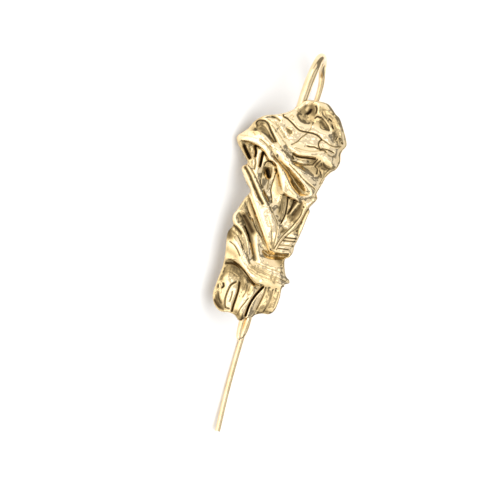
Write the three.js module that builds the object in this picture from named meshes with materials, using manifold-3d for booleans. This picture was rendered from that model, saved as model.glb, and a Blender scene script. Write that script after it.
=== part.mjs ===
// Ear cuff: a crumpled cast front soldered along a tapered ear wire.
// The wire starts as a round tip below the front, runs up behind it, hooks over the ear
// and comes straight down behind the ear, ending in a cut tail below the lobe.
//
// Worn frame, in millimetres: X to the right as one faces the front, Z up along the front,
// Y into the head. Heights are measured forwards, towards -Y. The last groups lay the cuff down
// on its side, on the plane z = 0, with the middle of its footprint at the origin.

import * as THREE from "three";
import { mergeVertices } from "three/addons/utils/BufferGeometryUtils.js";
import Module from "manifold-3d";

// ---- Driving dimensions ----

const WALL = 1.1; // thickness of the cast front
const RIM_HEIGHT = 1.5; // height of the sheet at its outline, before the edge rolls back
const RIM_ROLL = { depth: 0.6, reach: 0.8 }; // how far the edge rolls back, and over what width
const STEP_WIDTH = 0.7; // distance from a fold's edge to the foot of its drop
const CELL = 0.25; // cell of the sheet on which the folds are stretched
const RELAX = { rounds: 500, push: 1.8 }; // rounds of stretching, and how hard each one pulls
const SOFTEN = { front: 3, span: 4, back: 10 }; // rounds that round the folds, span and round the back
const GRID = { across: 26, along: 52 }; // facets of the front across and along it
const SOLDER_BED = { height: 0.3, narrow: 0.9, wide: 2.4 }; // level back under the wire, its edges

const WIRE = { front: 1.8, back: 1.05, sides: 12, steps: 100 }; // diameters and facets
const WIRE_DEPTH = 0.3; // depth of the wire's middle behind the back plane
const TIP = { x: -2.2, z: -23.9, round: 0.8 }; // round end below the front
const NECK = { x: -2.3, z: 24 }; // where the wire leaves the front
const HOOK = { x: -1.95, z: 28, radius: 4.8, lean: 2.4 }; // foot of the bend, size, sideways lean
const LEG = [ // the leg behind the ear, from the bend to the tail
  { x: -0.9, depth: 11.3, z: 8 },
  { x: -1.5, depth: 10.4, z: -14 },
  { x: -1.9, depth: 9.2, z: -33 },
  { x: -1.65, depth: 8.4, z: -42.7 },
];
const TAPER = { from: 0.36, to: 0.5 }; // share of the wire's length over which it thins

const LYING = { roll: -43.1, pitch: 1.25 }; // degrees, from standing on its top to lying on its edge

const GOLD = { color: 0xe2bd72, metalness: 1, roughness: 0.16 };

// ---- Outline of the front: [x, z], left to right or bottom to top ----

const OUTLINE = {
  top: [
    [-12.5, 13.7], [-11.1, 15.2], [-10.1, 17.1], [-8.2, 18.7], [-5.3, 19.9], [-3.3, 21.4], [-1.5, 23.4],
    [1.5, 23.8], [3.6, 22.8], [5.6, 21.2], [7.3, 18.5],
  ],
  bottom: [
    [-8.6, -18.4], [-7, -19.4], [-4.8, -19.2], [-3.4, -20.15], [-2.5, -19.9], [-0.95, -18.9],
    [0.6, -17.8], [1.9, -17.6], [2.6, -17],
  ],
  left: [
    [-8.6, -18.4], [-9.35, -16.2], [-8.9, -11], [-9.15, -8], [-9.6, -5], [-9.0, -3], [-9.5, -1.2],
    [-8.8, 0.6], [-7.5, 4], [-9.2, 6.1], [-10.2, 7.9], [-9.4, 9], [-11.1, 11], [-12.4, 12.6], [-12.5, 13.7],
  ],
  right: [
    [2.6, -17], [3.05, -15], [3.05, -12.1], [3.5, -11.4], [4.1, -10.9], [3.2, -9.8], [2.4, -8],
    [2.2, -6.9], [3.15, -5.6], [3.25, -4], [3.8, -1.3], [4.35, 3.1], [4.1, 3.7], [5.1, 5.9],
    [5.4, 9.2], [6.1, 11.1], [7.4, 12.7], [7.25, 15.2], [7.85, 17], [7.3, 18.5],
  ],
};

// ---- Folds ----
// One row a fold. Each point of a line is [x, z, height], from left to right, or downwards.
// drop is how far the sheet falls away on the fold's lower side. Ridges and grooves have none.

const FOLDS = [
  { fold: "top rim", line: [[-3, 21, 1.6], [1.8, 23, 2], [4.6, 21, 2.2], [7, 17.5, 2.1]] },
  { fold: "rim groove", line: [[2, 22.2, 1.5], [5.3, 19, 1.2], [6.3, 17.4, 1.4]] },
  { fold: "top dish", line: [[-1.8, 20.8, 1.1], [0.3, 20.8, 1.1]] },
  { fold: "knot", line: [[0.9, 22.4, 2], [1.2, 21, 2.1], [2, 20.2, 2.2]] },
  { fold: "panel swell", line: [[-7.5, 18.2, 2.2], [-3.5, 17.6, 2.5], [4.5, 16.5, 2.4]] },
  { fold: "first lip", drop: 1,
    line: [[-6.5, 17, 2.6], [-2, 13.8, 3.1], [3.3, 13.7, 3.1], [6.6, 13, 2.7]] },
  { fold: "shelf", drop: 0.4, line: [[-0.4, 12, 2.2], [4.4, 11.7, 2.1]] },
  { fold: "upper fold", drop: 0.7,
    line: [[-11.4, 14.5, 2.4], [-6.5, 13.9, 3.1], [-1, 10.9, 3.3], [4.6, 8, 2.8]] },
  { fold: "upper lip", drop: 1.6,
    line: [[-11.8, 13, 2.4], [-8, 12.9, 2.9], [-2.4, 8.5, 3.2], [1.6, 5.8, 3]] },
  { fold: "lobe rim", line: [[2, 5.6, 2.6], [4.6, 7, 2.4], [5.5, 10.4, 2.3], [7, 12.4, 2.4]] },
  { fold: "left pleat", line: [[-10.2, 11.4, 1], [-9.4, 10.1, 1]] },
  { fold: "middle pleat", line: [[-7.5, 11.6, 1.7], [-7.4, 8.5, 2], [-6.4, 6, 2]] },
  { fold: "right pleat", line: [[-5.2, 9.9, 1.2], [-5, 6.5, 1.1], [-4.3, 5, 1.3]] },
  { fold: "facet edge", line: [[-2.7, 8, 1.5], [-1.7, 5, 1.8], [-1.9, 2.4, 1.7]] },
  { fold: "bar top", line: [[-9.4, 8.5, 2.1], [-5.2, 4, 2.8], [-1.6, -0.9, 2.8], [-0.6, -3.6, 2.6]] },
  { fold: "bar groove", line: [[-9.4, 7.8, 1.9], [-6, 3.9, 2], [-4.5, 2.2, 2.3]] },
  { fold: "bar lip", drop: 1.4,
    line: [[-9.9, 7.6, 2.2], [-6.8, 3.5, 2.7], [-2.6, -3.2, 2.8], [-0.8, -5.6, 2.6]] },
  { fold: "strip valley", line: [[0.8, 4.4, 1.3], [-0.1, 2, 1.1], [-0.6, 0.2, 1.4]] },
  { fold: "thin strip", line: [[1.9, 4.3, 2.2], [0.6, 1.4, 2.1], [-0.2, -0.7, 2.1]] },
  { fold: "strip groove", line: [[2.6, 3.8, 1.7], [1.3, 1.2, 1.4]] },
  { fold: "wide strip", line: [[4.7, 5.6, 2.2], [2.4, 0.6, 2.4], [0.2, -3.6, 2.6], [-0.2, -5.7, 2.4]] },
  { fold: "upper rib", line: [[1.4, -2.2, 2], [3.3, -1.9, 1.9]] },
  { fold: "rib groove", line: [[1.3, -2.8, 1.5], [3.2, -2.6, 1.5]] },
  { fold: "waist lip", drop: 1.1, line: [[0.2, -5.9, 2.3], [1.8, -5.8, 2.3], [2.8, -5.5, 2.1]] },
  { fold: "thin ridge", line: [[-8.4, -0.1, 1.9], [-5.6, -1.9, 2], [-3.2, -3.9, 1.9]] },
  { fold: "deep groove", line: [[-7.9, -1.2, 1.1], [-5.6, -3.6, 0.9], [-3.6, -7.4, 1.2]] },
  { fold: "facet ridge", line: [[-4.4, -3.4, 2.2], [-2.9, -7, 2.3], [-2.2, -8.3, 2.3]] },
  { fold: "left rim", line: [[-8.7, -2.5, 1.9], [-6.4, -4.4, 1.9], [-4.6, -8, 2.1]] },
  { fold: "left groove", line: [[-8.8, -3.5, 1.4], [-6.2, -6.2, 1.5], [-5, -8.6, 1.7]] },
  { fold: "waist panel", line: [[-2.2, -8.6, 2.3], [0, -9.3, 2.4], [3.3, -10.2, 2.2]] },
  { fold: "belt groove", line: [[-3.6, -9.3, 1.8], [-0.6, -10.3, 1.8], [3.2, -10.8, 2]] },
  { fold: "belt", line: [[-8.8, -5.6, 2.1], [-5.9, -8, 2.5], [-2.8, -10.8, 2.6], [3, -11.4, 2.4]] },
  { fold: "belt lip", drop: 1.4,
    line: [[-8.4, -9, 2], [-5.4, -10, 2.2], [-2, -12, 2.5], [2.8, -12, 2.1]] },
  { fold: "egg", line: [[-5.7, -13.4, 2], [-6, -15.6, 2.3], [-6, -18.2, 1.9]] },
  { fold: "egg groove", line: [[-4.9, -13.6, 1.2], [-4.9, -15.5, 1.1], [-5, -18.4, 1.2]] },
  { fold: "outer groove", line: [[-6.6, -13.6, 1.2], [-7, -15.5, 1.2], [-6.9, -17.8, 1.2]] },
  { fold: "outer lump", line: [[-8, -13, 2], [-8.3, -15.6, 1.8], [-8, -18, 1.8]] },
  { fold: "inner ridge", line: [[-4, -12.6, 1.9], [-3.6, -15, 2.1], [-4.1, -18.4, 1.9]] },
  { fold: "tongue", line: [[-2, -13, 2.2], [-2.4, -16, 2.3], [-3.1, -19.4, 1.9]] },
  { fold: "parting", line: [[-0.6, -12.9, 1], [-1.6, -15.3, 0.9], [-2.3, -19, 0.9]] },
  { fold: "right lobe", line: [[-0.5, -13.5, 1.7], [-1.4, -16, 1.9], [-1.4, -18.6, 1.7]] },
  { fold: "lobe groove", line: [[0.1, -13.4, 1.2], [-0.1, -15.5, 1.2], [-0.4, -17.4, 1.3]] },
  { fold: "last ridge", line: [[0.8, -13, 1.8], [1.2, -15.4, 1.9], [1, -17.2, 1.7]] },
];

// ---- The sheet: heights on a square grid, stretched between the folds ----

function sideCurve(points) {
  const curve = new THREE.CatmullRomCurve3(points.map(([x, z]) => new THREE.Vector3(x, 0, z)));
  curve.curveType = "centripetal";
  return curve;
}

function emptySheet(outline) {
  const box = new THREE.Box3().setFromPoints(outline).expandByScalar(2 * CELL);
  const columns = Math.ceil((box.max.x - box.min.x) / CELL) + 1;
  const rows = Math.ceil((box.max.z - box.min.z) / CELL) + 1;
  const heights = new Float64Array(columns * rows).fill(RIM_HEIGHT);
  const fixed = new Uint8Array(columns * rows);
  return { left: box.min.x, bottom: box.min.z, columns, rows, heights, fixed };
}

function fixLine(sheet, line) {
  for (let i = 1; i < line.length; i++) {
    const [from, to] = [line[i - 1], line[i]];
    const steps = Math.ceil(from.distanceTo(to) / (CELL / 2));
    for (let k = 0; k <= steps; k++) {
      const point = from.clone().lerp(to, k / steps);
      const column = Math.round((point.x - sheet.left) / CELL);
      const row = Math.round((point.z - sheet.bottom) / CELL);
      sheet.heights[row * sheet.columns + column] = -point.y;
      sheet.fixed[row * sheet.columns + column] = 1;
    }
  }
}

function foldLine(points) {
  return points.map(([x, z, height]) => new THREE.Vector3(x, -height, z));
}

// The foot of a drop: the same line moved to its lower side and down.
function footLine(line, drop) {
  return line.map((point, i) => {
    const along = line[Math.min(i + 1, line.length - 1)].clone().sub(line[Math.max(i - 1, 0)]);
    const lower = new THREE.Vector3(along.z, 0, -along.x).normalize();
    return point.clone().addScaledVector(lower, STEP_WIDTH).add(new THREE.Vector3(0, drop, 0));
  });
}

function mapCells(sheet, values, change) {
  const result = values.slice();
  for (let row = 1; row < sheet.rows - 1; row++) {
    for (let column = 1; column < sheet.columns - 1; column++) {
      const cell = row * sheet.columns + column;
      const beside = [values[cell - 1], values[cell + 1]];
      const along = [values[cell - sheet.columns], values[cell + sheet.columns]];
      result[cell] = change(values[cell], [...beside, ...along]);
    }
  }
  return result;
}

function meanOfCells(own, around) {
  return around.reduce((sum, value) => sum + value, own) / (around.length + 1);
}

function leastOfCells(own, around) {
  return Math.min(own, ...around);
}

// Each free cell is drawn to the mean of its neighbours, so the sheet is taut between the folds.
function stretch(sheet) {
  const { heights, fixed, columns, rows } = sheet;
  for (let round = 0; round < RELAX.rounds; round++) {
    for (let row = 1; row < rows - 1; row++) {
      for (let column = 1; column < columns - 1; column++) {
        const cell = row * columns + column;
        if (fixed[cell]) continue;
        const beside = heights[cell - 1] + heights[cell + 1];
        const along = heights[cell - columns] + heights[cell + columns];
        heights[cell] += RELAX.push * ((beside + along) / 4 - heights[cell]);
      }
    }
  }
}

function frontSheet(outline) {
  const sheet = emptySheet(outline);
  fixLine(sheet, outline.map((point) => new THREE.Vector3(point.x, -RIM_HEIGHT, point.z)));
  for (const { line, drop } of FOLDS) {
    const edge = foldLine(line);
    if (drop) fixLine(sheet, footLine(edge, drop));
    fixLine(sheet, edge);
  }
  stretch(sheet);
  for (let i = 0; i < SOFTEN.front; i++) sheet.heights = mapCells(sheet, sheet.heights, meanOfCells);
  return sheet;
}

// The back follows the front's valleys and spans its ridges, and is smooth.
function backHeights(sheet) {
  let heights = sheet.heights;
  for (let i = 0; i < SOFTEN.span; i++) heights = mapCells(sheet, heights, leastOfCells);
  for (let i = 0; i < SOFTEN.back; i++) heights = mapCells(sheet, heights, meanOfCells);
  return heights.map((height) => height - WALL);
}

function heightAt(sheet, heights, x, z) {
  const across = (x - sheet.left) / CELL;
  const up = (z - sheet.bottom) / CELL;
  const column = Math.floor(across);
  const row = Math.floor(up);
  const cell = row * sheet.columns + column;
  const low = THREE.MathUtils.lerp(heights[cell], heights[cell + 1], across - column);
  const next = cell + sheet.columns;
  const high = THREE.MathUtils.lerp(heights[next], heights[next + 1], across - column);
  return THREE.MathUtils.lerp(low, high, up - row);
}

// ---- The front: a grid fitted to the outline, a front and a back face, and a rim ----

// A point of the patch between the four sides, each value from 0 to 1.
function patchPoint(sides, across, up) {
  const bottom = sides.bottom.getPointAt(across);
  const top = sides.top.getPointAt(across);
  const left = sides.left.getPointAt(up);
  const right = sides.right.getPointAt(up);
  const corners = sides.bottom.getPointAt(0).lerp(sides.bottom.getPointAt(1), across);
  corners.lerp(sides.top.getPointAt(0).lerp(sides.top.getPointAt(1), across), up);
  return bottom.lerp(top, up).add(left.lerp(right, across)).sub(corners);
}

function distanceToOutline(outline, point) {
  const nearest = new THREE.Vector3();
  let least = Infinity;
  for (let i = 0; i < outline.length; i++) {
    const side = new THREE.Line3(outline[i], outline[(i + 1) % outline.length]);
    side.closestPointToPoint(point, true, nearest);
    least = Math.min(least, nearest.distanceTo(point));
  }
  return least;
}

function castFront() {
  const sides = {};
  for (const [name, points] of Object.entries(OUTLINE)) sides[name] = sideCurve(points);
  const outline = [
    ...sides.bottom.getSpacedPoints(40),
    ...sides.right.getSpacedPoints(90),
    ...sides.top.getSpacedPoints(70).reverse(),
    ...sides.left.getSpacedPoints(80).reverse(),
  ];
  const sheet = frontSheet(outline);
  const hollow = backHeights(sheet);
  const front = [];
  const back = [];
  for (let j = 0; j <= GRID.along; j++) {
    for (let i = 0; i <= GRID.across; i++) {
      const point = patchPoint(sides, i / GRID.across, j / GRID.along);
      const roll = RIM_ROLL.depth * Math.exp(-distanceToOutline(outline, point) / RIM_ROLL.reach);
      const height = heightAt(sheet, sheet.heights, point.x, point.z) - roll;
      const behind = Math.min(heightAt(sheet, hollow, point.x, point.z) - roll, height - WALL);
      const aside = Math.abs(point.x - TIP.x);
      const clear = THREE.MathUtils.smoothstep(aside, SOLDER_BED.narrow, SOLDER_BED.wide);
      const bedded = THREE.MathUtils.lerp(Math.min(behind, SOLDER_BED.height), behind, clear);
      front.push(point.x, -height, point.z);
      back.push(point.x, -bedded, point.z);
    }
  }
  return closedSheet(front, back);
}

function closedSheet(front, back) {
  const width = GRID.across + 1;
  const count = width * (GRID.along + 1);
  const triangles = [];
  const quad = (a, b, c, d) => triangles.push(a, b, d, b, c, d); // split along the folds
  for (let j = 0; j < GRID.along; j++) {
    for (let i = 0; i < GRID.across; i++) {
      const low = j * width + i;
      const high = low + width;
      quad(low, low + 1, high + 1, high);
      quad(count + low, count + high, count + high + 1, count + low + 1);
    }
  }
  for (const [from, to] of rimSteps(width)) quad(from, count + from, count + to, to);
  const geometry = new THREE.BufferGeometry();
  geometry.setAttribute("position", new THREE.Float32BufferAttribute([...front, ...back], 3));
  geometry.setIndex(triangles);
  return geometry;
}

// Pairs of neighbouring points around the grid's edge, with the sheet on their left.
function rimSteps(width) {
  const { across, along } = GRID;
  const loop = [];
  for (let i = 0; i < across; i++) loop.push(i);
  for (let j = 0; j < along; j++) loop.push(j * width + across);
  for (let i = across; i > 0; i--) loop.push(along * width + i);
  for (let j = along; j > 0; j--) loop.push(j * width);
  return loop.map((point, i) => [point, loop[(i + 1) % loop.length]]);
}

// ---- The ear wire: turned straight, then bent along its route ----

function wireRoute() {
  const points = [
    new THREE.Vector3(TIP.x, WIRE_DEPTH, TIP.z),
    new THREE.Vector3((TIP.x + NECK.x) / 2, WIRE_DEPTH, (TIP.z + NECK.z) / 2),
    new THREE.Vector3(NECK.x, WIRE_DEPTH, NECK.z),
  ];
  for (let angle = 0; angle <= 180; angle += 30) {
    const turn = THREE.MathUtils.degToRad(angle);
    const depth = WIRE_DEPTH + HOOK.radius * (1 - Math.cos(turn));
    const x = HOOK.x + HOOK.lean * angle / 180;
    points.push(new THREE.Vector3(x, depth, HOOK.z + HOOK.radius * Math.sin(turn)));
  }
  for (const { x, depth, z } of LEG) points.push(new THREE.Vector3(x, depth, z));
  return new THREE.CatmullRomCurve3(points, false, "centripetal");
}

// Half section of the straight wire, [radius, distance from the tip], from axis to axis.
function wireProfile(length) {
  const profile = [];
  for (const angle of [0, 30, 60]) {
    const turn = THREE.MathUtils.degToRad(angle);
    profile.push(new THREE.Vector2((WIRE.front / 2) * Math.sin(turn), TIP.round * (1 - Math.cos(turn))));
  }
  for (let step = 1; step <= WIRE.steps; step++) {
    const share = step / WIRE.steps;
    const thin = THREE.MathUtils.smoothstep(share, TAPER.from, TAPER.to);
    profile.push(new THREE.Vector2(THREE.MathUtils.lerp(WIRE.front, WIRE.back, thin) / 2, share * length));
  }
  profile.push(new THREE.Vector2(0, length));
  return profile;
}

function earWire() {
  const route = wireRoute();
  const length = route.getLength();
  const frames = route.computeFrenetFrames(WIRE.steps, false);
  const wire = new THREE.LatheGeometry(wireProfile(length), WIRE.sides);
  const places = wire.getAttribute("position");
  for (let i = 0; i < places.count; i++) {
    const share = THREE.MathUtils.clamp(places.getY(i) / length, 0, 1);
    const frame = Math.round(share * WIRE.steps);
    const place = route.getPointAt(share);
    place.addScaledVector(frames.normals[frame], places.getX(i));
    place.addScaledVector(frames.binormals[frame], -places.getZ(i));
    places.setXYZ(i, place.x, place.y, place.z);
  }
  return wire;
}

// ---- Joining ----

const wasm = await Module();
wasm.setup();

function solid(geometry) {
  const bare = geometry.clone();
  bare.deleteAttribute("normal");
  bare.deleteAttribute("uv");
  const merged = mergeVertices(bare, 1e-4);
  const vertProperties = new Float32Array(merged.getAttribute("position").array);
  const triVerts = new Uint32Array(merged.getIndex().array);
  return new wasm.Manifold(new wasm.Mesh({ numProp: 3, vertProperties, triVerts }));
}

function geometryOf(manifold) {
  const mesh = manifold.getMesh();
  const geometry = new THREE.BufferGeometry();
  geometry.setAttribute("position", new THREE.BufferAttribute(mesh.vertProperties, 3));
  geometry.setIndex(new THREE.BufferAttribute(mesh.triVerts, 1));
  geometry.computeVertexNormals();
  return geometry;
}

// ---- The object ----

const earCuff = new THREE.Mesh(
  geometryOf(solid(castFront()).add(solid(earWire()))),
  new THREE.MeshStandardMaterial(GOLD),
);
earCuff.name = "ear_cuff";

// Laid with its length along X, rolled onto its left edge, and levelled.
const turned = new THREE.Group();
turned.rotation.y = -Math.PI / 2;
turned.add(earCuff);

const rolled = new THREE.Group();
rolled.rotation.x = THREE.MathUtils.degToRad(LYING.roll);
rolled.add(turned);

const lying = new THREE.Group();
lying.rotation.y = THREE.MathUtils.degToRad(LYING.pitch);
lying.add(rolled);

const box = new THREE.Box3().setFromObject(lying, true);
const middle = box.getCenter(new THREE.Vector3());
lying.position.set(-middle.x, -middle.y, -box.min.z);

const object = new THREE.Group();
object.add(lying);

export default object;
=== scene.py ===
"""Ear cuff: a crumpled, polished cast front soldered along a tapered ear wire.

Sizes are in millimetres in the worn frame: x to the right as one faces the front, z up along it,
y into the head. Heights rise from the front's back plane towards the viewer. The finished meshes
are laid on their side, in metres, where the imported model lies.
"""

import math
from collections import namedtuple

import bpy
import numpy as np
from mathutils import Matrix, Vector, kdtree


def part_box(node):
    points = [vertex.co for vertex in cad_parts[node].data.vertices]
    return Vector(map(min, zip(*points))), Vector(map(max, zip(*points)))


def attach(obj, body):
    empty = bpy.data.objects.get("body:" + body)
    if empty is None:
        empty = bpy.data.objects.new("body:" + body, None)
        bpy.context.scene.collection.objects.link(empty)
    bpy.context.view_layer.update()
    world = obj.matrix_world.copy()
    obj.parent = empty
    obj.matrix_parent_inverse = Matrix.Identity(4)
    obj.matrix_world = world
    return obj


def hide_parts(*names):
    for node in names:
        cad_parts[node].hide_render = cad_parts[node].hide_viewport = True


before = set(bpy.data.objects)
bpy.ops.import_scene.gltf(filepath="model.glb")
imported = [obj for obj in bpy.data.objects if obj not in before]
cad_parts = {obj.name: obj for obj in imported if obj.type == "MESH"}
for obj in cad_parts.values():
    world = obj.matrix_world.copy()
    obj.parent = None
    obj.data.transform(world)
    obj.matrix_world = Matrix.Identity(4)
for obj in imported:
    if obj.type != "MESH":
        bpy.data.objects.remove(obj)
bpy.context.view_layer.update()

bl_info = {
    "name": "Crumpled ear cuff",
    "version": (1, 0, 0),
    "blender": (4, 5, 0),
    "location": "3D View > Sidebar > Ear cuff",
    "description": "Makes a crumpled gold ear cuff, its ear wire and a small studio",
    "category": "Add Mesh",
}

CUFF = "ear_cuff"
BODY = "root"
MM = 0.001

LYING = {"roll": -43.1, "pitch": 1.25}  # degrees the worn cuff turns to lie on its side
# The camera's focal length, its roll in degrees, and what it looks at in the worn frame.
CAMERA = {"lens": 100.0, "lean": 15.0, "right": -4.68, "up": -6.76}

# ---- The sheet's sizes, in millimetres ----

WALL = 1.1  # thickness of the cast front
# The rim's shade is painted shade along the front's edge.
RIM = {"shade": 0.2, "soft": 0.25}  # how dark it is, and how widely it is rounded
RIM_HEIGHTS = {"bottom": (1.65, 1.65), "left": (1.65, 1.2), "top": (1.2, 1.45), "right": (1.65, 1.45)}
RIM_RISE = {"bottom": 0.0, "left": 0.1, "top": 0.4, "right": 0.6}  # how far a side's middle stands up
# A power on the painted shade, which keeps it to the bottom of the folds.
SHADE_CURVE = 1.4  # how closely the dark keeps to the bottom of the folds
EDGE_ROUND = 0.3  # radius of the front's rounded edge
# The foot of a drop: how far off it lies, how dark its painted shadow is, how soft it is, and the
# share of the line over which it fades at each end, down to the least shares of its depth and its shade.
FOOT = {"away": 0.28, "shade": 0.65, "soft": 0.06, "fade": 0.12, "least_drop": 0.25, "least_shade": 0.3}
CELLS = (0.56, 0.28, 0.14, 0.07)  # cells of the sheet, coarse to fine
MARGIN = 1.6  # how far the cells reach past the outline
PULL = {"rounds": 200, "push": 1.88}  # how long, and how hard, the sheet is drawn taut
FULLNESS = {"reach": 5, "blur": 24, "depth": 0.12}  # how ridges are filled out and valleys narrowed
UNEVEN = {"seed": 7, "waves": ((0.4, 0.008), (1.0, 0.02))}  # width and height of chance waves
BLURS = ((0.0, 1), (0.12, 8), (0.3, 50))  # softness, and the rounds of blurring that give it
BACK = {"erode": 12, "blur": 110, "shade": 0.3}  # cells it spans ridges by, its blurring, how dark it is
BED = {"x": -2.2, "height": 0.3, "narrow": 0.9, "wide": 2.4}  # level back under the wire
GRID = {"across": 188, "along": 400}  # facets of the front, even numbers
STEPS = {"outline": 0.05, "fold": 0.04, "seam": 0.5, "wire": 0.25, "prong": 0.12, "solder": 0.3}

# ---- The ear wire and the solder, in millimetres ----

WIRE_DEPTH = 0.3  # depth of the wire's middle behind the back plane
THINNING = (0.38, 0.49)  # the share of the wire's length over which it thins
NECK = (-2.3, 24.0)  # x and z where the wire leaves the front
HOOK = {"x": -1.95, "z": 28.0, "radius": 4.8, "lean": 2.4}
LEG = [(-0.9, 11.3, 8.0), (-1.5, 10.4, -14.0), (-1.9, 9.2, -33.0), (-1.65, 8.4, -42.7)]
ROD = [(-2.2, 0.3, -17.5), (-2.22, 0.3, -8.0), (-2.25, 0.3, 4.0), (-2.28, 0.3, 16.0)]

# The two prongs of the tip, downwards: x, y, z and radius.
LEFT_PRONG = [
    (-2.62, 0.2, -17.5, 0.56), (-2.6, 0.1, -20.0, 0.62), (-2.56, 0.1, -21.8, 0.62),
    (-2.48, 0.15, -22.8, 0.6), (-2.4, 0.15, -23.3, 0.53), (-2.34, 0.15, -23.7, 0.38),
    (-2.32, 0.15, -23.93, 0.15),
]
RIGHT_PRONG = [
    (-1.5, -0.5, -16.5, 0.5), (-1.54, -0.45, -18.5, 0.58), (-1.56, -0.15, -20.0, 0.6),
    (-1.66, 0.0, -21.6, 0.6), (-1.8, 0.05, -22.5, 0.56), (-1.92, 0.1, -23.1, 0.46),
    (-2.0, 0.1, -23.45, 0.2),
]

# The solder, up the back of the front: x, y, z and radius.
SOLDER = [
    (-2.2, 0.2, -18.9, 0.5), (-2.2, 0.05, -18.0, 1.25), (-2.3, 0.0, -12.0, 1.3), (-2.15, 0.05, -6.0, 1.2),
    (-2.35, 0.0, 0.0, 1.35), (-2.2, 0.05, 6.0, 1.25), (-2.3, 0.0, 12.0, 1.35), (-2.3, 0.0, 18.0, 1.25),
    (-2.3, 0.05, 21.5, 1.15), (-2.3, 0.2, 22.3, 0.5),
]
SOLDER_FLAT = 0.45  # its depth as a share of its width

# ---- The gold's colours ----

# The brightest tint is the wire's gold and the front's painted highlight on ridges; the tan, worn, dark and
# black tints are steps of painted shade and painted dark reflection on the front, not of wear.
GOLD_TINTS = {
    "bright_gold": (1.0, 0.81, 0.52, 1),
    "tan": (0.82, 0.62, 0.33, 1),
    "worn": (0.36, 0.26, 0.12, 1),
    "dark": (0.075, 0.045, 0.018, 1),
    "black": (0.012, 0.008, 0.005, 1),
    "wire_shade": (0.85, 0.62, 0.33, 1),
    "solder": (0.8, 0.6, 0.33, 1),
    "solder_shade": (0.6, 0.43, 0.22, 1),
}
# The steps by which the painted shade darkens the front's gold: from one shade to another, towards a tint.
DARKENING = ((0.02, 0.18, "tan"), (0.18, 0.44, "worn"), (0.42, 0.7, "dark"), (0.7, 0.92, "black"))
# Each pattern's scale, per metre, and its share.
MOTTLING = ((700.0, 0.14), (1800.0, 0.08))
WAVERING = {"fine": 1500.0, "broad": 600.0, "broad_share": 1.5, "height": 0.00004}
DULLING = {"by": 0.16, "from": 0.3, "to": 0.9}  # how much rougher the dark is, and between which shades
WIRE_POLISH = {"roughness": 0.14, "wear_scale": 500.0}
SOLDER_POLISH = {"roughness": 0.34, "wear_scale": 900.0}
WEAR = (0.3, 0.8)  # between which values of its pattern the wire and the solder change colour

# ---- The studio, in metres ----

STUDIO_MIDDLE = Vector((0.0, 0.0, 0.008))
FLOOR = {"radius": 4.0, "corners": 64, "roughness": 0.7, "shine": 0.2}
AMBIENT = 0.25

# ---- The front's outline: (x, z), left to right or bottom to top ----

OUTLINE = {
    "top": [
        (-12.5, 13.7), (-12.1, 14.1), (-11.1, 15.2), (-10.7, 15.9), (-10.1, 17.1), (-9.0, 18.2),
        (-8.2, 18.7), (-6.2, 19.4), (-4.4, 20.4), (-3.3, 21.4), (-2.4, 22.6), (-1.5, 23.4),
        (0.5, 23.75), (2.3, 23.75), (3.0, 23.4), (4.4, 22.2), (5.1, 21.8), (6.2, 20.3), (7.3, 18.5),
    ],
    "bottom": [
        (-8.6, -18.4), (-7.8, -19.1), (-7.0, -19.4), (-5.4, -19.2), (-4.3, -19.4), (-3.4, -20.15),
        (-2.9, -20.1), (-2.4, -19.6), (-0.95, -18.9), (-0.6, -18.4), (0.6, -17.8), (1.9, -17.6),
        (2.6, -17.0),
    ],
    "left": [
        (-8.6, -18.4), (-9.2, -17.2), (-9.35, -16.2), (-9.2, -14.0), (-8.9, -11.0), (-9.0, -9.0),
        (-9.6, -5.0), (-9.5, -4.2), (-9.0, -3.0), (-9.4, -2.0), (-9.5, -1.2), (-9.0, 0.0), (-8.2, 2.4),
        (-7.5, 4.0), (-8.5, 5.2), (-9.8, 7.0), (-10.2, 7.6), (-10.2, 8.1), (-9.4, 9.0), (-10.5, 10.4),
        (-12.0, 12.0), (-12.4, 12.6), (-12.6, 13.2), (-12.5, 13.7),
    ],
    "right": [
        (2.6, -17.0), (2.95, -16.0), (3.1, -14.0), (3.05, -12.1), (3.4, -11.7), (3.35, -11.4),
        (4.1, -10.9), (4.0, -10.4), (3.2, -9.8), (2.4, -8.0), (2.2, -7.3), (2.2, -6.7), (2.8, -6.2),
        (3.15, -5.6), (3.3, -4.8), (3.25, -4.0), (3.6, -2.3), (3.95, 0.0), (4.2, 2.2), (4.35, 3.1),
        (4.1, 3.7), (4.9, 5.3), (5.1, 5.95), (4.75, 6.3), (5.4, 9.2), (5.6, 10.2), (6.5, 11.5),
        (7.1, 12.1), (7.5, 13.5), (7.25, 15.2), (7.4, 15.9), (7.85, 17.0), (7.3, 18.5),
    ],
}

# ---- The folds ----
# One row a fold: shade is how much painted shade and painted dark reflection it has, from 0 on a
# ridge, painted brightest, to 1 in a deep crease, soft is how widely it is rounded, and line runs
# through (x, z, height). drop is how far the sheet falls away on the lower side, where it has an edge.

Fold = namedtuple("Fold", "name shade soft line drop", defaults=(0.0,))

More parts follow.
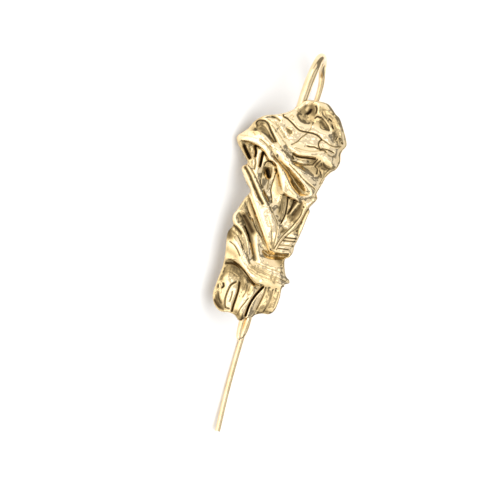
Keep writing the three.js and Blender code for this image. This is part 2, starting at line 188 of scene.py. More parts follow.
TOP_FOLDS = [
    Fold("top rim", 0.12, 0.25, [(-3.4, 21, 1.7), (-2, 22.4, 1.8), (-0.6, 23.2, 1.9), (2.2, 23.1, 2.1)]),
    Fold("right rim", 0.12, 0.25, [(2.2, 23.1, 2.1), (3.6, 22.2, 2.2), (5, 21.1, 2.2), (6.2, 19.7, 2.15),
        (6.9, 18.2, 2), (7.2, 17, 1.85)]),
    Fold("rim groove", 0.42, 0.1, [(3.9, 21.2, 1.95), (4.7, 20.3, 1.95), (5.3, 19.2, 1.95),
        (6.1, 17.2, 2.15)]),
    Fold("rim valley", 0.5, 0.2, [(4.3, 20.6, 1.95), (4.8, 19.4, 1.95), (5, 18.2, 2.15)]),
    Fold("corner floor", 0.3, 0.1, [(6, 17.1, 2.2), (6.6, 16.95, 2.2)]),
    Fold("knot ridge", 0.08, 0.1, [(0.9, 23, 2.1), (1, 22.4, 2.2), (0.85, 21.7, 2.2), (0.7, 20.5, 2)]),
    Fold("tan facet", 0.5, 0.15, [(1.5, 22.7, 2.15), (2.1, 22.1, 2.1), (2.6, 21.6, 2)]),
    Fold("first strip", 0.35, 0.1, [(1.55, 21.7, 2.15), (2.6, 20.8, 2.1), (3.8, 19.7, 2),
        (4.1, 18.9, 1.95)]),
    Fold("tan blob", 0.45, 0.12, [(3, 21.3, 1.9), (3.4, 20.5, 1.85)]),
    Fold("brown facet", 0.75, 0.12, [(2, 20.1, 1.85), (2.8, 19.5, 1.8), (3.6, 19.1, 1.8)]),
    Fold("rim slope", 0.06, 0.2, [(4.1, 19.4, 2), (4.3, 18.6, 2.2), (4.6, 17.8, 2.35)]),
    Fold("dish left", 0.5, 0.15, [(-2.4, 20.8, 1.65), (-1.5, 22.1, 1.55), (-0.6, 22.8, 1.65),
        (0.1, 22.5, 1.6)]),
    Fold("dish floor", 0.5, 0.3, [(-1.7, 21.1, 1.5), (-1, 20, 1.45), (0.1, 19.8, 1.55)]),
    Fold("dish right", 0.5, 0.15, [(0.3, 21.6, 1.6), (0.45, 20.4, 1.65), (0.5, 19.6, 1.8)]),
    Fold("dish edge", 0.4, 0.08, [(-2.6, 20.4, 1.75), (-2, 19.65, 1.85), (-1.2, 19.2, 1.95),
        (0.5, 19.3, 1.95)]),
    Fold("dish sill", 0, 0.3, [(-3.4, 20.4, 2), (-2.6, 19.3, 2.3), (-0.8, 18.5, 2.45), (1.2, 18.7, 2.45),
        (3, 18.2, 2.45), (4.4, 17.3, 2.45)]),
    Fold("left sill", 0.02, 0.2, [(-6.2, 19.1, 2.05), (-4.6, 19.8, 2), (-3.8, 20.5, 1.9)]),
    Fold("panel crown", 0, 0.3, [(-6.5, 18, 2.35), (-4.4, 17.5, 2.45), (-2, 16.7, 2.5), (0.9, 16.5, 2.45),
        (2.2, 16.3, 2.45)]),
    Fold("right panel", 0, 0.3, [(3.5, 16, 2.45), (4.6, 15.75, 2.5), (6.3, 15.6, 2.45)]),
    Fold("low panel", 0.1, 0.3, [(-0.6, 15, 2.5), (0.6, 14.5, 2.5), (2.2, 14.7, 2.5)]),
    Fold("ripple ridge", 0, 0.1, [(-8.6, 18.1, 2.15), (-6.8, 17.4, 2.4), (-5.2, 16.4, 2.5),
        (-2.8, 14.4, 2.7)]),
    Fold("corner strip", 0.2, 0.12, [(6.7, 16.2, 2.2), (6.7, 15, 2.3), (6.8, 14, 2.3), (7, 13.3, 2.3)]),
    Fold("lip crown", 0.05, 0.2, [(-2.6, 14, 2.75), (-1.2, 13.55, 2.8), (0.4, 13.4, 2.9), (1.8, 13.75, 2.9),
        (3, 14, 2.85), (4.4, 13.7, 2.75), (5.8, 13.1, 2.65), (6.7, 12.9, 2.45)]),
    Fold("lip underside", 0.3, 0.08, [(-1.7, 13.1, 2.6), (-0.4, 12.95, 2.6), (1, 13.05, 2.6),
        (2.2, 13.3, 2.6), (3.2, 13.4, 2.5), (4.4, 12.9, 2.4), (6.3, 12.3, 2.3)]),
    Fold("ledge rim", 0.06, 0.08, [(-0.6, 11.8, 2.25), (0.4, 11.75, 2.3), (1.6, 12, 2.25),
        (2.4, 12.2, 2.1)]),
    Fold("right fold", 0.8, 0.1, [(4.4, 12.7, 2.35), (5, 12, 2.35), (5.9, 11.9, 2.35)]),
    Fold("low right rim", 0.1, 0.12, [(7.2, 12.7, 2.1), (6.7, 12, 2.15), (5.95, 11.1, 2.2),
        (5.45, 9.8, 2.2), (5.1, 8.2, 2.25), (4.8, 7.2, 2.3), (4.3, 6.5, 2.4)]),
    Fold("olive facet", 0.48, 0.2, [(-0.8, 11.1, 2.2), (1.4, 11, 2.15), (3.3, 10.9, 2.15),
        (4.3, 10.1, 2.3)]),
    Fold("low olive facet", 0.25, 0.15, [(1, 10.6, 2.5), (2.4, 10.2, 2.5), (4.1, 9.8, 2.5)]),
]

UPPER_FOLDS = [
    Fold("upper left rim", 0.4, 0.2, [(-10.2, 16.3, 2), (-9.9, 17.3, 2), (-8.9, 18.1, 2.05)]),
    Fold("hook floor", 0.65, 0.1, [(-9.2, 16.9, 2.25), (-8.3, 16.95, 2.3)]),
    Fold("olive slope", 0.65, 0.12, [(-9.5, 15.9, 2.2), (-8.2, 15.6, 2.3), (-6.9, 14.95, 2.4),
        (-5.6, 14, 2.4)]),
    Fold("batten", 0.1, 0.1, [(-7, 17, 2.45), (-6.2, 16.2, 2.65), (-5, 15, 2.8), (-3.6, 13.8, 2.9),
        (-1.6, 12.3, 2.4)]),
    Fold("upper crown", 0, 0.2, [(-11.3, 14.8, 2.3), (-9.4, 15.1, 2.6), (-7.6, 14.7, 2.9),
        (-5.6, 13.6, 3.1), (-3.6, 12.4, 3.2), (-1.4, 11.2, 3.2), (0.8, 10.2, 3.15), (2.8, 9.4, 2.95),
        (4.4, 8.6, 2.7)]),
    Fold("lower crown", 0, 0.12, [(-3.2, 11.3, 3.1), (-1.4, 10.2, 3.1), (0.4, 9.1, 3.05), (2.2, 7.9, 2.9),
        (3.8, 6.9, 2.6)]),
    Fold("gutter shadow", 0.6, 0.06, [(-5, 11.65, 2.5), (-3.8, 10.8, 2.35), (-2.4, 9.9, 2.2),
        (-1.2, 9.2, 2)]),
    Fold("gutter floor", 0.6, 0.15, [(-1.2, 8.9, 1.7), (0, 8, 1.6), (1.2, 7, 1.6), (2.3, 6.4, 1.8)]),
    Fold("gutter side", 0.6, 0.08, [(-0.5, 7.7, 1.95), (0.5, 6.8, 1.95), (1.6, 6.1, 2)]),
    Fold("gutter end", 0.5, 0.06, [(1.7, 5.9, 2.1), (2.6, 6.1, 2), (3.3, 6.4, 2.1)]),
    Fold("upper lip crown", 0.02, 0.15, [(-12.1, 13.35, 2), (-10.4, 13.5, 2.5), (-8.6, 13.3, 2.85),
        (-6.8, 12.3, 3), (-5.2, 11.1, 3.1), (-3.6, 10.1, 3.15), (-2.2, 9, 3.2), (-1, 7.7, 3.2),
        (0.2, 6.4, 3.15), (1.4, 5.6, 3)]),
    Fold("upper lip left", 0.2, 0.06, [(-11.8, 12.95, 2.3), (-10.2, 13, 2.5), (-8.8, 12.8, 2.6),
        (-7.8, 12.5, 2.7), (-6.9, 12, 2.8), (-6.2, 11.3, 2.85), (-5.6, 10.65, 2.9), (-4.7, 10.4, 2.9),
        (-3.8, 10, 2.9)], 1.1),
    Fold("upper lip middle", 0.15, 0.1, [(-3.6, 9.6, 2.95), (-2.9, 8.2, 3), (-2.1, 6.7, 3),
        (-1.4, 5.6, 2.95)], 0.45),
    Fold("upper lip right", 0.2, 0.06, [(-1.2, 5.3, 2.9), (-0.3, 4.9, 2.8), (0.9, 4.65, 2.7),
        (1.8, 4.5, 2.6)], 1.2),
    Fold("lobe corner", 0.03, 0.12, [(1.9, 5.3, 2.8), (2.5, 5.45, 2.6), (3.4, 5.9, 2.55),
        (4.2, 6.5, 2.45)]),
    Fold("lobe underside", 0.2, 0.08, [(2.1, 4.85, 2.5), (3, 5.2, 2.4), (4.2, 5.85, 2.3)]),
]

MIDDLE_FOLDS = [
    Fold("left flap", 0.55, 0.15, [(-11.6, 12.6, 1.9), (-10.6, 12.4, 1.8), (-9.8, 12.6, 2)]),
    Fold("a ridge", 0.45, 0.15, [(-12.1, 12.4, 1.7), (-11.3, 11.5, 1.8), (-10.2, 10.2, 1.8),
        (-9.2, 9.1, 1.8)]),
    Fold("b ridge", 0.35, 0.12, [(-9.9, 12.2, 1.5), (-9.3, 11, 1.7), (-8.8, 9.7, 1.8), (-8.3, 8.5, 1.9)]),
    Fold("b oval", 0.25, 0.1, [(-9.2, 12, 1.7), (-8.9, 11.5, 1.75)]),
    Fold("b glint", 0, 0.06, [(-8.6, 10.3, 1.7), (-8.3, 9.2, 1.8)]),
    Fold("c ridge", 0.04, 0.12, [(-7.6, 12.1, 1.6), (-7.6, 10.5, 1.85), (-7.35, 8.7, 2.1),
        (-6.9, 7.2, 2.25), (-6.4, 5.9, 2.35)]),
    Fold("d ridge", 0.12, 0.1, [(-6.5, 11, 1.6), (-6.55, 9.2, 1.8), (-6.65, 7.6, 1.85)]),
    Fold("d oval", 0.5, 0.08, [(-5.5, 9.7, 1.6), (-5.1, 9.2, 1.65)]),
    Fold("pit facet", 0.2, 0.15, [(-5.6, 7.3, 1.95), (-5.3, 6.2, 2.05), (-5, 5.4, 2.1)]),
    Fold("pit shade left", 0.75, 0.15, [(-6.1, 9, 1.5), (-5.7, 7.8, 1.5)]),
    Fold("pit shade right", 0.7, 0.15, [(-4.6, 9.2, 1.45), (-4.5, 7.8, 1.5)]),
    Fold("e oval", 0, 0.1, [(-4.3, 9.7, 1.6), (-4.15, 8.9, 1.7), (-4.2, 7.9, 1.65)]),
    Fold("e glint", 0, 0.08, [(-4.2, 6.7, 1.75), (-4.15, 5.7, 1.8), (-4.1, 4.8, 1.75)]),
    Fold("e curl", 0.05, 0.08, [(-4.7, 4.6, 1.7), (-4.2, 4.1, 1.85), (-3.7, 4.1, 1.9), (-3.4, 3.4, 1.9)]),
    Fold("f facet", 0.1, 0.25, [(-3.3, 8.4, 1.75), (-2.9, 6.3, 1.9), (-2.4, 4.4, 2), (-2.3, 3.3, 2)]),
    Fold("f ridge", 0.03, 0.12, [(-1.7, 4.6, 2.1), (-1.6, 3.2, 2.2), (-1.6, 1.9, 2.3), (-1.4, 0.9, 2.35)]),
    Fold("v first strip", 0.4, 0.06, [(-0.7, 4.6, 1.9), (-0.45, 3, 1.95), (-0.35, 1.4, 2),
        (-0.4, 0.2, 2.1)]),
    Fold("v second strip", 0.4, 0.05, [(0.25, 4.5, 1.7), (0.35, 3.2, 1.7), (0.25, 1.9, 1.7)]),
    Fold("r1 ridge", 0.3, 0.06, [(1.9, 4.1, 2.1), (1.2, 2.7, 2.1), (0.5, 1.3, 2.1), (0, 0.4, 2)]),
    Fold("v white facet", 0, 0.12, [(0.2, 0.2, 2.3), (0.7, -0.3, 2.4), (1.2, -0.9, 2.45)]),
    Fold("v shade", 0.8, 0.12, [(1.4, 4.2, 1.9), (1, 3, 1.8), (0.7, 1.8, 1.75)]),
    Fold("v right shade", 0.8, 0.12, [(2.5, 4.3, 2), (2, 3, 1.95), (1.4, 1.6, 1.95)]),
    Fold("v tan facet", 0.7, 0.1, [(2.7, 3.3, 2.1), (2.3, 2.3, 2.1), (1.5, 0.6, 2.15)]),
    Fold("r2 ridge", 0.15, 0.1, [(4.8, 5.6, 2.3), (4.1, 4.6, 2.35), (3.5, 3.4, 2.4), (3.2, 1.9, 2.4),
        (2.7, 0.5, 2.4), (2.1, -0.6, 2.4), (1.5, -1.5, 2.4), (0.9, -2.3, 2.45), (0.4, -3.2, 2.5),
        (-0.1, -4.6, 2.5), (-0.4, -5.7, 2.5)]),
    Fold("r3 gap", 0.55, 0.05, [(4.3, 4.2, 1.9), (3.8, 2.7, 1.9), (3.4, 0.9, 1.9), (3.1, -0.4, 1.95),
        (3.3, -1.7, 1.9)]),
    Fold("right edge rim", 0.06, 0.08, [(4.1, 2.6, 2.05), (3.85, 0.6, 2.05), (3.65, -1.2, 2),
        (3.4, -2.6, 2), (3.1, -4, 2), (3.1, -5, 2)]),
    Fold("nose facet", 0, 0.1, [(3.5, 4.5, 2.3), (3.9, 4.9, 2.25)]),
    Fold("triangle", 0.7, 0.08, [(0, -2.1, 2.3), (0.6, -1.6, 2.25), (1, -1.3, 2.3)]),
    Fold("bar end flank", 0.1, 0.1, [(-0.5, -1.3, 2.6), (-0.2, -2.7, 2.55), (-0.3, -4.3, 2.55)]),
    Fold("m5 first", 0, 0.08, [(1.4, -2.4, 2.35), (2.4, -2.1, 2.4), (3.3, -2, 2.35)]),
    Fold("m5 second", 0.2, 0.06, [(1.1, -3.1, 2.3), (2.2, -2.9, 2.3), (3.2, -2.8, 2.3)]),
    Fold("m5 third", 0.04, 0.08, [(0.8, -3.9, 2.35), (1.9, -3.65, 2.4), (3, -3.45, 2.3)]),
    Fold("m5 fourth", 0, 0.08, [(0.4, -4.8, 2.45), (1.7, -4.55, 2.45), (2.9, -4.35, 2.35)]),
    Fold("m5 lip", 0, 0.1, [(0.1, -5.5, 2.5), (1.4, -5.4, 2.45), (2.9, -5.1, 2.35)]),
    Fold("m5 lip edge", 0.55, 0.06, [(0, -6, 2.3), (1.2, -5.95, 2.2), (2.6, -5.7, 2)], 0.6),
]

BAR_FOLDS = [
    Fold("bar upper ridge", 0, 0.12, [(-9.8, 8.6, 2.1), (-8.6, 7.8, 2.35), (-7.5, 6.7, 2.5),
        (-6.5, 5.5, 2.65), (-5.5, 4.3, 2.75), (-4.4, 2.9, 2.85), (-3.4, 1.7, 2.9), (-2.4, 0.4, 2.9),
        (-1.6, -0.8, 2.8), (-1, -2.2, 2.7), (-0.6, -3.8, 2.6), (-0.5, -5.3, 2.5)]),
    Fold("bar top edge", 0.15, 0.06, [(-8.2, 8.1, 1.95), (-6.8, 6.5, 2.3), (-5.4, 4.7, 2.5),
        (-4.1, 3.1, 2.6), (-3, 1.8, 2.75), (-2, 0.5, 2.8), (-1.1, -0.8, 2.7), (-0.6, -2.2, 2.6)]),
    Fold("bar lower ridge", 0.05, 0.12, [(-10.1, 7.6, 2), (-8.9, 6.5, 2.3), (-8.1, 5.3, 2.45),
        (-7.2, 4, 2.55), (-6.3, 2.7, 2.65), (-5.3, 1.3, 2.75), (-4.3, -0.1, 2.8), (-3.3, -1.6, 2.8),
        (-2.3, -3.1, 2.75), (-1.3, -4.6, 2.65), (-0.7, -5.6, 2.5)]),
    Fold("bar lip", 0.12, 0.08, [(-9.9, 7.1, 1.9), (-8.9, 5.4, 2.1), (-7.9, 3.9, 2.3), (-7, 2.6, 2.4),
        (-6, 1.2, 2.5), (-4.9, -0.4, 2.55), (-3.8, -2, 2.6), (-2.7, -3.6, 2.5), (-1.6, -5, 2.4),
        (-1, -5.8, 2.3)], 0.65),
]

LOWER_FOLDS = [
    Fold("left cheek", 0.3, 0.15, [(-8.2, 3.6, 1.7), (-7.9, 2.7, 1.8), (-8.4, 1.4, 1.9), (-8.8, 0.2, 1.9)]),
    Fold("left rim ridge", 0.04, 0.12, [(-8.8, 0.2, 1.9), (-9.2, -1, 2), (-9, -1.9, 2), (-8.4, -2.5, 2),
        (-7.6, -2.9, 2), (-6.6, -3.8, 2.05), (-5.7, -5, 2.1), (-5.1, -6.5, 2.15), (-4.6, -7.8, 2.2),
        (-3.9, -8.8, 2.3), (-3, -9.2, 2.4), (-1.4, -9.5, 2.45), (0.4, -9.75, 2.45), (2.4, -10, 2.4),
        (3.8, -10.4, 2.2)]),
    Fold("grey panel", 0.4, 0.15, [(-7.8, 2.2, 1.7), (-7.2, 1, 1.6), (-6.2, -0.3, 1.6), (-5.6, -1.2, 1.6)]),
    Fold("thin ridge", 0.3, 0.06, [(-8.3, 0.4, 1.9), (-7.2, -0.5, 1.95), (-6.2, -1.3, 2),
        (-5.2, -2.4, 2.05), (-4.3, -3.2, 2.1), (-3.3, -4, 2.1)]),
    Fold("hollow", 0.76, 0.12, [(-8.3, -0.8, 1.6), (-7.4, -1.3, 1.45), (-6.6, -2.2, 1.4),
        (-5.9, -3.2, 1.35), (-5.2, -4.4, 1.35), (-4.6, -5.7, 1.4), (-4, -7, 1.5), (-3.2, -8.3, 1.8)]),
    Fold("hollow wall", 0.15, 0.1, [(-6.6, -3.3, 1.85), (-5.6, -4.5, 1.9), (-4.9, -5.9, 1.95),
        (-4.2, -7.4, 2.1)]),
    Fold("white facet", 0, 0.2, [(-4.6, -3.4, 2), (-4, -4.9, 2.1), (-3.4, -6.4, 2.2), (-2.7, -7.8, 2.3),
        (-2, -8.3, 2.3)]),
    Fold("white facet edge", 0.1, 0.08, [(-3.4, -4.4, 1.9), (-2.7, -5.9, 1.9), (-1.8, -7.2, 1.9)]),
    Fold("brow groove", 0.45, 0.06, [(-2.3, -6.3, 1.3), (-1.2, -6.8, 1.1), (0, -6.6, 1), (1, -6.35, 1.05),
        (2, -6.3, 1.1)]),
    Fold("brow slope", 0.2, 0.1, [(-1.4, -7.4, 1.95), (0.2, -7.4, 1.9), (1.9, -7.3, 1.95)]),
    Fold("right panel ridge", 0.22, 0.15, [(-1.8, -8.4, 2.35), (-0.4, -8.6, 2.4), (1, -8.7, 2.45),
        (2.1, -8.8, 2.4)]),
    Fold("cheek shade", 0.9, 0.12, [(-9, -3, 1.75), (-8, -3.4, 1.75), (-7, -4.2, 1.8)]),
    Fold("cheek fold", 0.6, 0.1, [(-9.2, -3.9, 1.75), (-8.2, -4.2, 1.8)]),
    Fold("second ridge", 0.4, 0.08, [(-8.9, -3.6, 1.8), (-7.6, -4.2, 1.9), (-6.4, -5.5, 2),
        (-5.5, -7.2, 2.15)]),
    Fold("white band", 0, 0.15, [(-9.4, -5.1, 1.9), (-8, -5.6, 2.2), (-6.7, -6.5, 2.4), (-5.6, -7.7, 2.5),
        (-4.6, -8.9, 2.6), (-3.5, -9.9, 2.65), (-1.6, -10.6, 2.65), (0.4, -10.9, 2.65), (2.2, -11.1, 2.55),
        (3.9, -11.1, 2.3)]),
    Fold("lower band", 0.06, 0.1, [(-8.9, -6.7, 1.9), (-7.8, -7.2, 2.2), (-6.6, -8.2, 2.4),
        (-5.6, -9.3, 2.5), (-4.4, -10.3, 2.6), (-2.6, -11.1, 2.65), (-0.4, -11.5, 2.65), (1.6, -11.5, 2.55),
        (3.2, -11.6, 2.3)]),
    Fold("tan slope", 0.3, 0.12, [(-8.8, -7.6, 1.9), (-7.6, -8.1, 2.1), (-6.6, -9.1, 2.2),
        (-5.3, -10.2, 2.3), (-4, -11.2, 2.35), (-2.4, -12, 2.35), (-0.4, -12.4, 2.35), (1.4, -12.3, 2.25),
        (3, -12.1, 2.1)]),
    Fold("slope edge", 0.4, 0.06, [(-8.7, -9.4, 1.75), (-7.4, -9.3, 1.9), (-6.2, -9.8, 2),
        (-4.9, -10.7, 2.1), (-3.6, -11.7, 2.15), (-2.2, -12.5, 2.15), (-0.6, -12.7, 2)], 0.5),
]

BOTTOM_FOLDS = [
    Fold("left strip", 0.4, 0.15, [(-9, -9.2, 1.7), (-8.6, -11, 1.7), (-8.9, -13.4, 1.6),
        (-9.05, -15.4, 1.6), (-8.9, -16.8, 1.6)]),
    Fold("arch ridge", 0.65, 0.1, [(-8.3, -11.2, 1.6), (-7.2, -10.8, 1.75), (-6, -11.1, 1.75),
        (-4.9, -12, 1.7), (-4.5, -13, 1.6)]),
    Fold("left lump", 0.2, 0.15, [(-8.1, -13.1, 1.8), (-7.4, -12.7, 1.95), (-6.6, -12.7, 1.9)]),
    Fold("lump side", 0.25, 0.12, [(-7.6, -13.6, 1.7), (-7.3, -15, 1.7), (-7.5, -16.4, 1.7)]),
    Fold("strip shade", 0.7, 0.12, [(-8.5, -11.3, 1.6), (-8.3, -12.4, 1.55), (-8.5, -13.6, 1.55)]),
    Fold("corner shade", 0.9, 0.12, [(-8.8, -17.6, 1.65), (-8, -18.4, 1.65), (-7.2, -18.7, 1.65)]),
    Fold("egg", 0.02, 0.25, [(-5.6, -13.3, 1.85), (-5.95, -14.6, 2), (-6.2, -16.2, 2.1), (-6.1, -17.5, 2),
        (-5.95, -18.5, 1.75)]),
    Fold("egg flank", 0.08, 0.2, [(-5.4, -14.4, 2), (-5.45, -16, 2.05), (-5.5, -17.6, 2)]),
    Fold("low left lump", 0.75, 0.15, [(-8.8, -16.6, 1.7), (-8.3, -17.7, 1.85), (-7.5, -18.5, 1.8),
        (-6.6, -18.9, 1.6)]),
    Fold("g ridge", 0.35, 0.12, [(-4.1, -12.4, 1.9), (-3.8, -13.8, 2), (-4, -15.2, 2.05),
        (-4.2, -16.6, 2.05), (-4.3, -18.2, 1.9)]),
    Fold("slant lump", 0.15, 0.12, [(-2.5, -14.4, 2.2), (-3.1, -15.8, 2.25), (-3.7, -17, 2.15),
        (-4, -18, 2)]),
    Fold("tongue", 0.12, 0.15, [(-2.3, -13.1, 2.15), (-2.15, -14.6, 2.3), (-2.4, -16, 2.35),
        (-2.7, -17.4, 2.3), (-3, -18.6, 2.15), (-3.1, -19.8, 1.9)]),
    Fold("i ridge", 0.12, 0.1, [(-0.3, -13.4, 1.8), (-0.8, -14.6, 1.95), (-1.2, -16, 2),
        (-1.35, -17.3, 1.95), (-1.35, -18.7, 1.7)]),
    Fold("k ridge", 0.3, 0.1, [(0.75, -12.9, 1.8), (0.8, -14.3, 1.95), (0.6, -15.8, 1.95),
        (0.3, -17.4, 1.8)]),
    Fold("m ridge", 0.35, 0.1, [(2.15, -12.7, 1.8), (2.2, -14.4, 1.9), (2.05, -15.9, 1.9),
        (1.8, -17.2, 1.75)]),
    Fold("right foot shade", 0.7, 0.1, [(-0.3, -18, 1.7), (0.8, -17.4, 1.7), (2.2, -17.1, 1.7)]),
]

# ---- The seams ----
# Fine creases and dark spots worked into the sheet after it is drawn, their darkness painted shade
# and painted dark reflection: shade, width, depth and the line (x, z).

Seam = namedtuple("Seam", "name shade width depth line")

TOP_SEAMS = [
    Seam("rim pit", 1, 0.12, 0.1, [(3.4, 21), (3.9, 20.7)]),
    Seam("second rim pit", 0.95, 0.12, 0.1, [(4.2, 20), (4.6, 19.4)]),
    Seam("corner crease", 0.85, 0.1, 0.06, [(5.6, 17.6), (5.75, 18.1)]),
    Seam("corner line", 0.8, 0.08, 0.05, [(6.1, 17.95), (6.6, 17.9)]),
    Seam("corner pit", 0.95, 0.1, 0.06, [(6.8, 17.3), (6.95, 17.1)]),
    Seam("knot slit", 1, 0.12, 0.15, [(0.3, 22.7), (0.6, 22.2), (0.65, 21.4)]),
    Seam("knot hook", 0.9, 0.14, 0.1, [(0.75, 20.45), (1.1, 20.85), (1.7, 20.8)]),
    Seam("knot seam", 0.5, 0.07, 0.04, [(1.1, 22.8), (1.3, 22), (1.6, 21.3)]),
    Seam("strip gap above", 0.5, 0.08, 0.05, [(1.8, 21.9), (2.3, 21.3), (3, 20.9)]),
    Seam("strip gap below", 0.75, 0.12, 0.08, [(1.8, 20.9), (2.7, 20.3), (3.5, 19.6), (3.9, 19)]),
    Seam("brown facet edge", 0.6, 0.07, 0.04, [(1.9, 19.8), (2.1, 19.2), (2.6, 18.8), (3.2, 18.9)]),
    # The dish pit is a painted dark reflection over a shallow dip.
    Seam("dish pit left", 1, 0.27, 0.15, [(-0.8, 20.95), (-0.5, 21.3), (-0.35, 21.8)]),
    Seam("swirl", 0.35, 0.06, 0.03, [(-3.9, 19.5), (-3.6, 19.9), (-3.2, 19.7), (-3.4, 19.4)]),
    # The long crease and its branches below are painted dark reflections, worked in as shallow creases.
    Seam("long crease", 0.95, 0.11, 0.08, [(-5.2, 19.5), (-5, 19.2), (-4.2, 18.95), (-3, 18.3),
        (-2.2, 17.75), (-1.3, 17.4), (0, 17.45), (1.2, 17.5), (2.2, 17.3), (3, 16.85)]),
    Seam("crease tail", 0.6, 0.09, 0.05, [(3, 16.85), (4, 16.5), (5, 16.15), (6, 16.15), (6.8, 16.5)]),
    Seam("upper branch", 0.35, 0.08, 0.03, [(0.5, 19.1), (0.5, 18.4), (0.3, 17.8)]),
    Seam("lower branch", 0.6, 0.08, 0.04, [(0, 17.2), (-0.7, 16.3), (-1.2, 15.4), (-2.2, 14.4)]),
    Seam("right branch", 0.85, 0.1, 0.06, [(3.1, 16.8), (2.7, 16.4), (2.65, 15.8), (3.1, 15)]),
    Seam("right crease", 0.9, 0.09, 0.06, [(3.1, 14.9), (3.7, 15.2), (4.4, 15.25), (5.8, 15)]),
    Seam("crease shadow", 0.7, 0.14, 0.04, [(3.2, 14.8), (3.9, 14.95), (4.4, 14.7)]),
    Seam("middle crease", 0.85, 0.11, 0.06, [(0.7, 14.95), (1.3, 14.95), (2, 15.1), (2.8, 14.95)]),
    Seam("fine line", 0.3, 0.08, 0.03, [(3.1, 14.7), (2.4, 14.35), (1.3, 14.1), (-1.4, 13.95)]),
    Seam("right fine line", 0.35, 0.07, 0.03, [(4.4, 14.6), (5.3, 14.3), (6.3, 14.2)]),
    Seam("dimple", 0.55, 0.2, 0.06, [(-3.9, 17.1), (-3.3, 16.95), (-2.8, 16.6)]),
    Seam("dimple foot", 0.5, 0.18, 0.05, [(-3.6, 16.75), (-3, 16.3)]),
    Seam("edge dimple", 0.6, 0.15, 0.06, [(-7.2, 18.7), (-6.3, 18.6), (-5.5, 18.25)]),
    Seam("first ripple", 0.3, 0.08, 0.04, [(-7.8, 18), (-5.9, 17.2), (-4.7, 16.2), (-3.5, 15.2)]),
    Seam("second ripple", 0.25, 0.08, 0.04, [(-6.4, 17.8), (-5.1, 17), (-4.2, 16.1), (-3, 15.1)]),
    Seam("lip shadow", 0.95, 0.14, 0.3, [(-1.5, 12.85), (-0.8, 12.6), (0.3, 12.6), (0.9, 12.7),
        (2.8, 12.95)]),
    Seam("ledge gap", 0.6, 0.07, 0.05, [(-0.3, 12.05), (0.6, 12.1), (1.8, 12.25)]),
    Seam("ledge shadow", 0.65, 0.11, 0.2, [(-1.4, 11.5), (-0.6, 11.45), (0.4, 11.35), (2.6, 11.75)]),
    Seam("first hatch", 0.9, 0.12, 0.08, [(3.2, 13), (2.9, 12.4), (2.6, 11.9)]),
    Seam("second hatch", 0.85, 0.12, 0.08, [(3.8, 12.9), (3.4, 12.2), (3.1, 11.6)]),
    Seam("third hatch", 0.8, 0.1, 0.06, [(4.1, 12.5), (4.3, 12.1)]),
    Seam("hatch fan", 0.75, 0.12, 0.08, [(3.2, 11.5), (3.7, 11.2), (3.8, 10.5)]),
    Seam("fan gap", 0.8, 0.09, 0.05, [(4.1, 11.1), (4.5, 10.7), (4.7, 10)]),
    Seam("fan edge", 0.75, 0.08, 0.04, [(4.4, 11.6), (5.2, 11.5)]),
    Seam("low rim groove", 0.4, 0.08, 0.05, [(6.8, 12.4), (5.9, 11.6), (5.25, 10.5), (4.75, 8.6)]),
]

UPPER_SEAMS = [
    Seam("hook crease", 0.85, 0.14, 0.2, [(-9.4, 16.3), (-9.7, 16.7), (-9.4, 17.3), (-8.5, 17.5),
        (-7.8, 17.3), (-7.2, 16.7), (-6.6, 15.9), (-6, 15.2), (-5.2, 14.2)]),
    Seam("hook line", 0.7, 0.09, 0.08, [(-9.3, 16.3), (-8.5, 16.5), (-7.9, 16.3), (-7.3, 15.8),
        (-6.4, 14.9), (-5.4, 14.1)]),
    Seam("batten line", 0.35, 0.08, 0.05, [(-7.7, 17.5), (-6.4, 16.7), (-5.2, 15.8), (-4, 14.8),
        (-2.6, 13.6), (-1.7, 12.9), (-1.2, 12)]),
    Seam("batten foot", 0.3, 0.08, 0.08, [(-6.4, 16), (-5.1, 14.5), (-3.6, 13.1), (-1.4, 11.8)]),
    Seam("batten pit", 0.9, 0.12, 0.1, [(-1.5, 12.4), (-1.2, 12)]),
    Seam("left nick", 0.5, 0.1, 0.05, [(-9.9, 14.8), (-9.3, 14.45)]),
    Seam("crown line", 0.3, 0.07, 0.04, [(-12, 13.75), (-10.4, 13.9), (-8.9, 13.85)]),
    Seam("crown break", 0.5, 0.12, 0.05, [(-8.1, 13.9), (-7, 13.4), (-6.2, 12.8), (-5.4, 12.2)]),
    Seam("crown dash", 0.6, 0.1, 0.04, [(-6.2, 13.2), (-5.6, 12.85)]),
    Seam("crown gap", 0.5, 0.09, 0.12, [(-1.6, 10.7), (-0.4, 10), (1, 9.1), (2.4, 8.3), (4.2, 7.5)]),
    Seam("lip streak", 0.25, 0.08, 0.04, [(-1.5, 7.4), (-0.5, 6.2), (0.8, 5.4)]),
]

